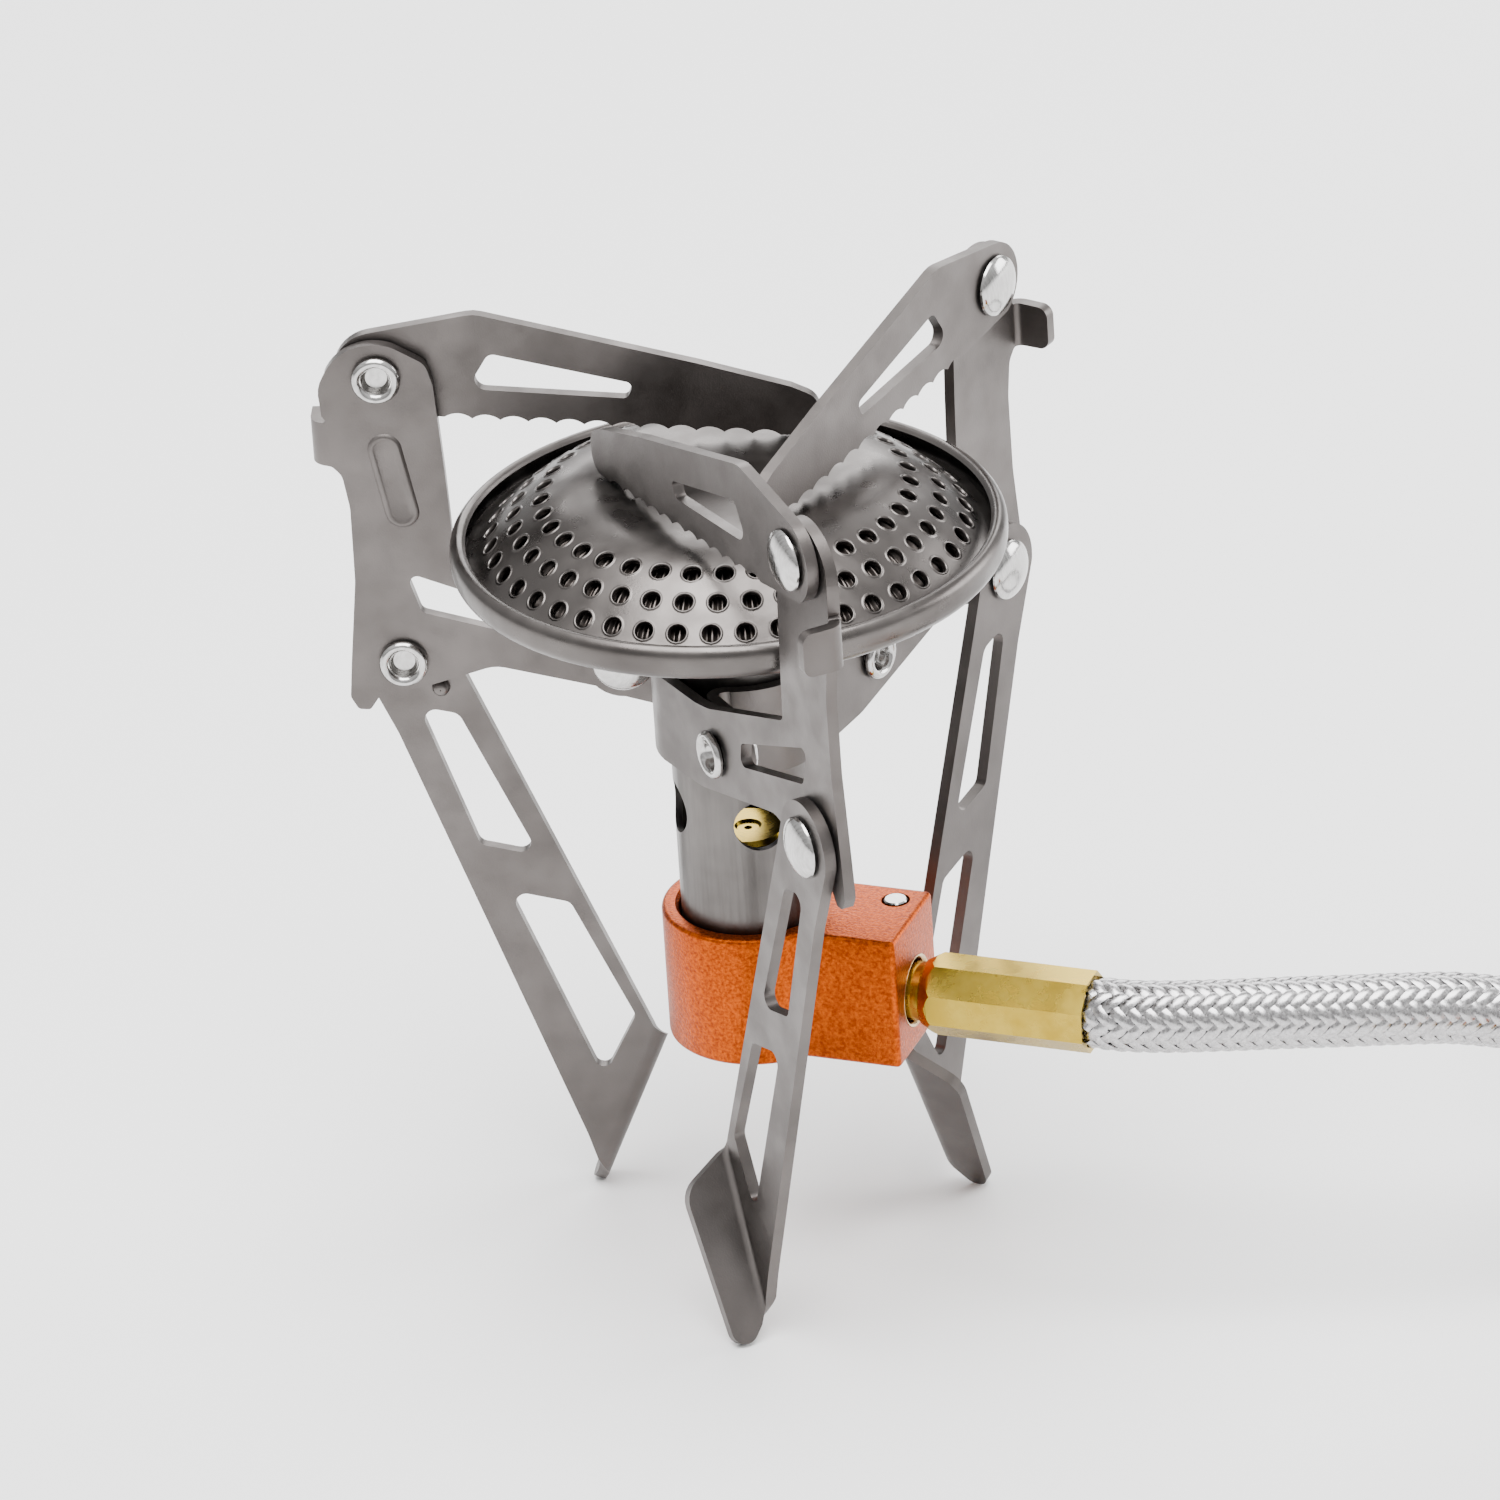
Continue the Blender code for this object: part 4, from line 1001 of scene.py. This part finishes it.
def make_head():
    mesh = bmesh.new()
    edges = []
    for (radius, count), half in zip(PORT_ROWS, CELL_HALF):
        for number in range(count):
            add_port(mesh, radius, math.tau * number / count, half, math.pi / count)
        edges += [(radius - half, count * CELL_SIDE), (radius + half, count * CELL_SIDE)]
    for lift in (0.0, -SHELL):
        centre = mesh.verts.new(dome_point(0.0, 0.0, lift))
        first = add_ring(mesh, 3.0, edges[0][1], lift)
        for i in range(len(first)):
            mesh.faces.new((centre, first[i - 1], first[i]))
        for radius in (6.0, 9.0, 12.0, 14.5, 16.0, 17.4, edges[0][0]):
            following = add_ring(mesh, radius, edges[0][1], lift)
            zip_rings(mesh, first, following)
            first = following
        for (near, few), (far, many) in ((edges[1], edges[2]), (edges[3], edges[4])):
            zip_rings(mesh, add_ring(mesh, near, few, lift), add_ring(mesh, far, many, lift))
        first = add_ring(mesh, *edges[5], lift)
        for radius in (27.6, 28.2, 28.7, 28.8):
            following = add_ring(mesh, radius, edges[5][1], lift)
            zip_rings(mesh, first, following)
            first = following
        if lift == 0.0:
            top_edge = first
    zip_rings(mesh, top_edge, first)
    made = make_object("burner_dome", mesh, STOVE)
    finish_piece(made, "burner_head", "stove", BURNER, sharp=60)


def make_bowl():
    neck = TUBE_RADIUS + GAP + SHELL
    rim = RIM_RADIUS
    line = [
        (neck, BURNER_Z - 9.6), (neck, BURNER_Z - 7.6), (neck + 1.6, BURNER_Z - 6.7),
        (rim - 10, BURNER_Z - 3.0), (rim - 3.0, BURNER_Z - 0.5), (rim - 1.0, BURNER_Z + 0.1),
        (rim - 0.2, BURNER_Z + 0.9), (rim, BURNER_Z + 1.8), (rim - 0.1, BURNER_Z + 3.2),
        (rim - 0.7, BURNER_Z + 3.9), (rim - 1.3, BURNER_Z + 3.9), (rim - 1.75, BURNER_Z + 3.5),
    ]
    profile = shell_profile(smooth_line(line, 6), SHELL - 0.1)
    made = make_object("burner_bowl_spun", turned(profile, 128), STOVE)
    finish_piece(made, "burner_bowl", "stove", BURNER, 0.12, 50)


def make_tube():
    inner = TUBE_RADIUS - TUBE_WALL
    bottom = BLOCK_TOP - RECESS_DEPTH + GAP
    profile = [(TUBE_RADIUS, TUBE_TOP), (TUBE_RADIUS, bottom), (inner, bottom), (inner, TUBE_TOP)]
    made = make_object("mixing_tube_drawn", turned(profile, 96), STOVE)
    holes = []
    for angle in AIR_HOLE_ANGLES:
        hole = turned([(0, 14), (AIR_HOLE_RADIUS, 14), (AIR_HOLE_RADIUS, 2), (0, 2)], 40)
        turn = Matrix.Rotation(math.radians(angle), 4, "Z")
        holes.append(turn_mesh(along_x(hole, AIR_HOLE_Z), turn))
    combine(made, STOVE, holes)
    finish_piece(made, "mixing_tube", "stove", TUBE, 0.12, 50)


def make_jet():
    seat = BLOCK_TOP - RECESS_DEPTH + GAP
    top = -17.1
    profile = [
        (0, seat - 4), (3, seat - 4), (3, seat), (4.5, seat), (4.5, top - 0.5), (4.0, top),
        (1.5, top), (1.2, top - 0.3), (0, top - 0.3),
    ]
    made = make_object("jet_turned", turned(profile, 64), STOVE)
    hole = turned([(0, top + 1), (0.45, top + 1), (0.45, seat - 5), (0, seat - 5)], 24)
    slot_outline = [(1.8, -0.35), (6, -0.35), (6, 0.35), (1.8, 0.35)]
    slot = loft([(slot_outline, top - 1.2), (slot_outline, top + 1)])
    turn_mesh(slot, Matrix.Rotation(math.radians(202), 4, "Z"))
    combine(made, STOVE, [hole, slot])
    finish_piece(made, "jet", "stove", BRASS, 0.06, 40)


make_head()
make_gauze()
make_bowl()
make_tube()
make_jet()


# ---------------------------------------------------------------- block and fitting


def make_block():
    half, end = BLOCK_HALF_WIDTH, BLOCK_END
    start = math.degrees(math.asin(half / BLOCK_RADIUS))
    outline = rounded(
        arc((0, 0), BLOCK_RADIUS, start, 360 - start, 72) + [(end, -half, 0.6), (end, half, 0.6)]
    )
    body = loft([(outline, BLOCK_TOP - BLOCK_HEIGHT), (outline, BLOCK_TOP)])
    made = make_object("valve_block_milled", body, STOVE)
    add_bevel(made, 0.5, 60).use_clamp_overlap = False
    apply_modifiers(made)
    floor = BLOCK_TOP - RECESS_DEPTH
    well = turned(
        [
            (0, BLOCK_TOP + 1), (9.6, BLOCK_TOP + 1), (8.25, BLOCK_TOP - 0.35), (8.2, floor),
            (0, floor),
        ], 96,
    )
    seat = turned([(0, floor + 1), (3.3, floor + 1), (3.3, floor - 5), (0, floor - 5)], 48)
    bore = [(0, 6.0), (3.6, 6.0), (3.6, end - 0.4), (5.0, end + 1), (0, end + 1)]
    fitting = along_x(turned(bore, 64), FITTING_Z)
    pin = turned([(0, BLOCK_TOP + 1), (1.6, BLOCK_TOP + 1), (1.6, -41.1), (0, -41.1)], 40)
    turn_mesh(pin, Matrix.Translation(PIN_PLACE))
    for cutter in (well, seat, fitting, pin):
        combine(made, STOVE, [cutter])
    finish_piece(made, "valve_block", "stove", ORANGE, 0.1, 40)


def make_bore_ring():
    """The bright edge cut round the mouth of the fitting's bore after anodising."""
    end = BLOCK_END
    line = [
        (3.62, end - 0.42), (3.98, end - 0.05), (4.12, end + 0.02), (3.98, end + 0.04),
        (3.58, end - 0.3),
    ]
    made = make_object("bore_edge", along_x(turned(line, 64), FITTING_Z), STOVE)
    made.data.materials.append(BRIGHT)
    made.data.shade_smooth()
    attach(made, "stove")


def make_pin():
    top = BLOCK_TOP + 0.2
    profile = [(0, top), (1.15, top), (1.3, top - 0.15), (1.3, -40.8), (0, -40.8)]
    place = STOVE @ Matrix.Translation(PIN_PLACE)
    made = make_object("retaining_pin_ground", turned(profile, 40), place)
    finish_piece(made, "retaining_pin", "stove", STEEL, sharp=40)


def octagonal_bar(start, end, flats):
    radius = flats / 2 / math.cos(math.pi / 8)
    outline = [on_circle(radius, math.pi / 8 + math.pi / 4 * number) for number in range(8)]
    return loft([(outline, start), (outline, end)])


def make_ferrule():
    """An octagonal bar whose block end is turned down to a cone, which leaves arcs on the flats."""
    bar = along_x(octagonal_bar(20.0, FERRULE_END, 8.5), FITTING_Z)
    made = make_object("hose_ferrule_crimped", bar, STOVE)
    cone = [(0, 19), (3.2, 19), (3.7, 20), (4.7, 21.8), (4.9, 25), (4.9, 45), (0, 45)]
    combine(made, STOVE, [along_x(turned(cone, 96), FITTING_Z)], "INTERSECT")
    mouth = along_x(turned([(0, 38.9), (3.9, 38.9), (4.1, 40), (0, 40)], 64), FITTING_Z)
    combine(made, STOVE, [mouth])
    spigot = [
        (0, 7.5), (3.3, 7.5), (3.3, 13.9), (1.8, 13.9), (1.8, 17.1), (3.3, 17.1), (3.3, 21), (0, 21),
    ]
    combine(made, STOVE, [along_x(turned(spigot, 64), FITTING_Z)], "UNION")
    finish_piece(made, "hose_ferrule", "stove", BRASS, 0.12, 30)


make_block()
make_bore_ring()
make_pin()
make_ferrule()


# ---------------------------------------------------------------- canister valve


def make_canister_valve():
    heading = math.radians(HOSE_TURN_START + HOSE_TURN + 90)
    place = Matrix.Translation(hose_end) @ Matrix.Rotation(heading, 4, "Z") @ Matrix.Scale(MM, 4)
    floor = -hose_end.z / MM
    tip = 14.3
    rolls = [(0, 0.3), (4.5, 0.3), (5.2, 1.0), (5.2, 3.3)]
    rolls += [(4.7, 3.8), (4.7, 4.2), (5.2, 4.7), (5.2, 7.5), (4.7, 8.0), (4.7, 8.4), (5.2, 8.9)]
    rolls += [(5.2, tip - 3), (3.6, tip - 1.8), (3.6, tip), (0, tip)]
    made = make_object("canister_ferrule_crimped", along_x(turned(rolls, 64)), place)
    pieces = [finish_piece(made, "canister_ferrule", "stove", BRASS, 0.15, 30)]

    radius, height = 9.0, 15.0
    centre = tip + radius
    seat = floor + 9.8
    top = seat + height
    line = [(0, seat), (radius, seat), (radius, top - 2.5), (radius - 2.5, top), (0, top)]
    shift = Matrix.Translation((centre, 0, 0))
    made = make_object("canister_valve_milled", turn_mesh(turned(line, 96), shift), place)
    near, far = centre - radius + 1, centre + radius - 1
    for x, side in ((near, -9), (far, 9)):
        outline = [(x, -12), (x + side, -12), (x + side, 12), (x, 12)]
        combine(made, place, [loft([(outline, floor), (outline, top + 1)])])
    bore = along_x(turned([(0, far - 2.2), (2.3, far - 2.2), (2.3, 40), (0, 40)], 48))
    combine(made, place, [bore])
    pieces.append(
        finish_piece(made, "canister_valve_body", "stove", ORANGE, 0.25, 40)
    )

    outline = []
    ribs = 48
    for number in range(ribs * 6):
        radius = 11.9 - (0.25 if number % 6 > 2 else 0)
        outline.append(on_circle(radius, math.tau * number / (ribs * 6)))
    round_edge = circle((0, 0), 11.4, ribs * 6)
    collar = loft(
        [
            (round_edge, floor), (outline, floor + 0.6), (outline, floor + 8.8),
            (round_edge, floor + 9.5),
        ]
    )
    made = make_object("canister_collar_knurled", turn_mesh(collar, shift), place)
    thread = [(0, floor - 1), (6.1, floor - 1), (5.6, floor + 0.3)]
    for turn in range(8):
        thread += [(5.6, floor + 0.5 + turn * 0.8), (5.95, floor + 0.9 + turn * 0.8)]
    thread += [(5.6, floor + 7.0), (2.0, floor + 7.0), (2.0, floor + 10), (0, floor + 10)]
    combine(made, place, [turn_mesh(turned(thread, 64), shift)])
    pieces.append(finish_piece(made, "canister_collar", "stove", BRASS, sharp=30))

    seal_top = floor + 6.7
    ring = [(5.3, seal_top), (5.3, seal_top - 1.2), (2.3, seal_top - 1.2), (2.3, seal_top)]
    made = make_object("canister_seal_moulded", turn_mesh(turned(ring, 64), shift), place)
    pieces.append(finish_piece(made, "canister_seal", "stove", LINER, 0.3, 40))

    knob_start = centre + 12.8
    stem_end = knob_start - GAP
    stem = [(0, far - 1.9), (1.8, far - 1.9), (2.0, far - 1.7), (2.0, stem_end), (0, stem_end)]
    made = make_object("canister_spindle_turned", along_x(turned(stem, 40)), place)
    pieces.append(finish_piece(made, "canister_spindle", "valve_control", BRASS, 0.05, 40))

    flutes = []
    for number in range(12 * 16):
        share = (number % 16) / 16
        depth = 0.75 * max(0.0, math.sin(math.tau * share)) ** 0.6
        flutes.append(on_circle(7.0 - depth, math.tau * number / (12 * 16)))
    small = [point * 0.93 for point in flutes]
    knob = loft(
        [
            (small, knob_start), (flutes, knob_start + 0.6), (flutes, knob_start + 8.4),
            (small, knob_start + 9.0),
        ]
    )
    made = make_object("canister_knob_fluted", along_x(knob), place)
    pieces.append(
        finish_piece(made, "canister_knob", "valve_control", ORANGE, 0.15, 35)
    )
    return pieces


valve_pieces = make_canister_valve()


# ---------------------------------------------------------------- stage

LIGHT_TARGET = Vector((0, 0, 0.06))


def make_floor():
    mesh = bmesh.new()
    bmesh.ops.create_grid(mesh, x_segments=2, y_segments=2, size=3.0)
    floor = link_object("floor", mesh_data("floor", mesh))
    nodes = Nodes("floor")
    nodes.set(Base_Color=(0.92, 0.92, 0.92, 1), Roughness=0.9)
    floor.data.materials.append(nodes.material)


def add_light(name, place, size, power):
    light = bpy.data.lights.new(name, "AREA")
    light.shape = "RECTANGLE"
    light.size, light.size_y = size
    light.energy = power
    made = link_object(name, light)
    made.location = place
    direction = LIGHT_TARGET - Vector(place)
    made.rotation_euler = direction.to_track_quat("-Z", "Y").to_euler()


def make_world():
    world = bpy.data.worlds.new("studio")
    bpy.context.scene.world = world
    world.use_nodes = True
    tree = world.node_tree
    background = tree.nodes["Background"]
    background.inputs["Color"].default_value = (1, 1, 1, 1)
    place = tree.nodes.new("ShaderNodeTexCoord")
    split = tree.nodes.new("ShaderNodeSeparateXYZ")
    rise = tree.nodes.new("ShaderNodeMapRange")
    rise.inputs["From Min"].default_value = 0.0
    rise.inputs["From Max"].default_value = 0.8
    rise.inputs["To Min"].default_value = 0.55
    rise.inputs["To Max"].default_value = 1.15
    tree.links.new(place.outputs["Generated"], split.inputs["Vector"])
    tree.links.new(split.outputs["Z"], rise.inputs["Value"])
    tree.links.new(rise.outputs["Result"], background.inputs["Strength"])


make_floor()
make_world()
add_light("overhead", (0.0, -0.15, 0.95), (0.8, 0.8), 22.0)
add_light("right", (0.75, 0.6, 0.32), (0.6, 0.5), 8.0)
add_light("back", (-0.25, 0.85, 0.5), (0.8, 0.45), 6.0)
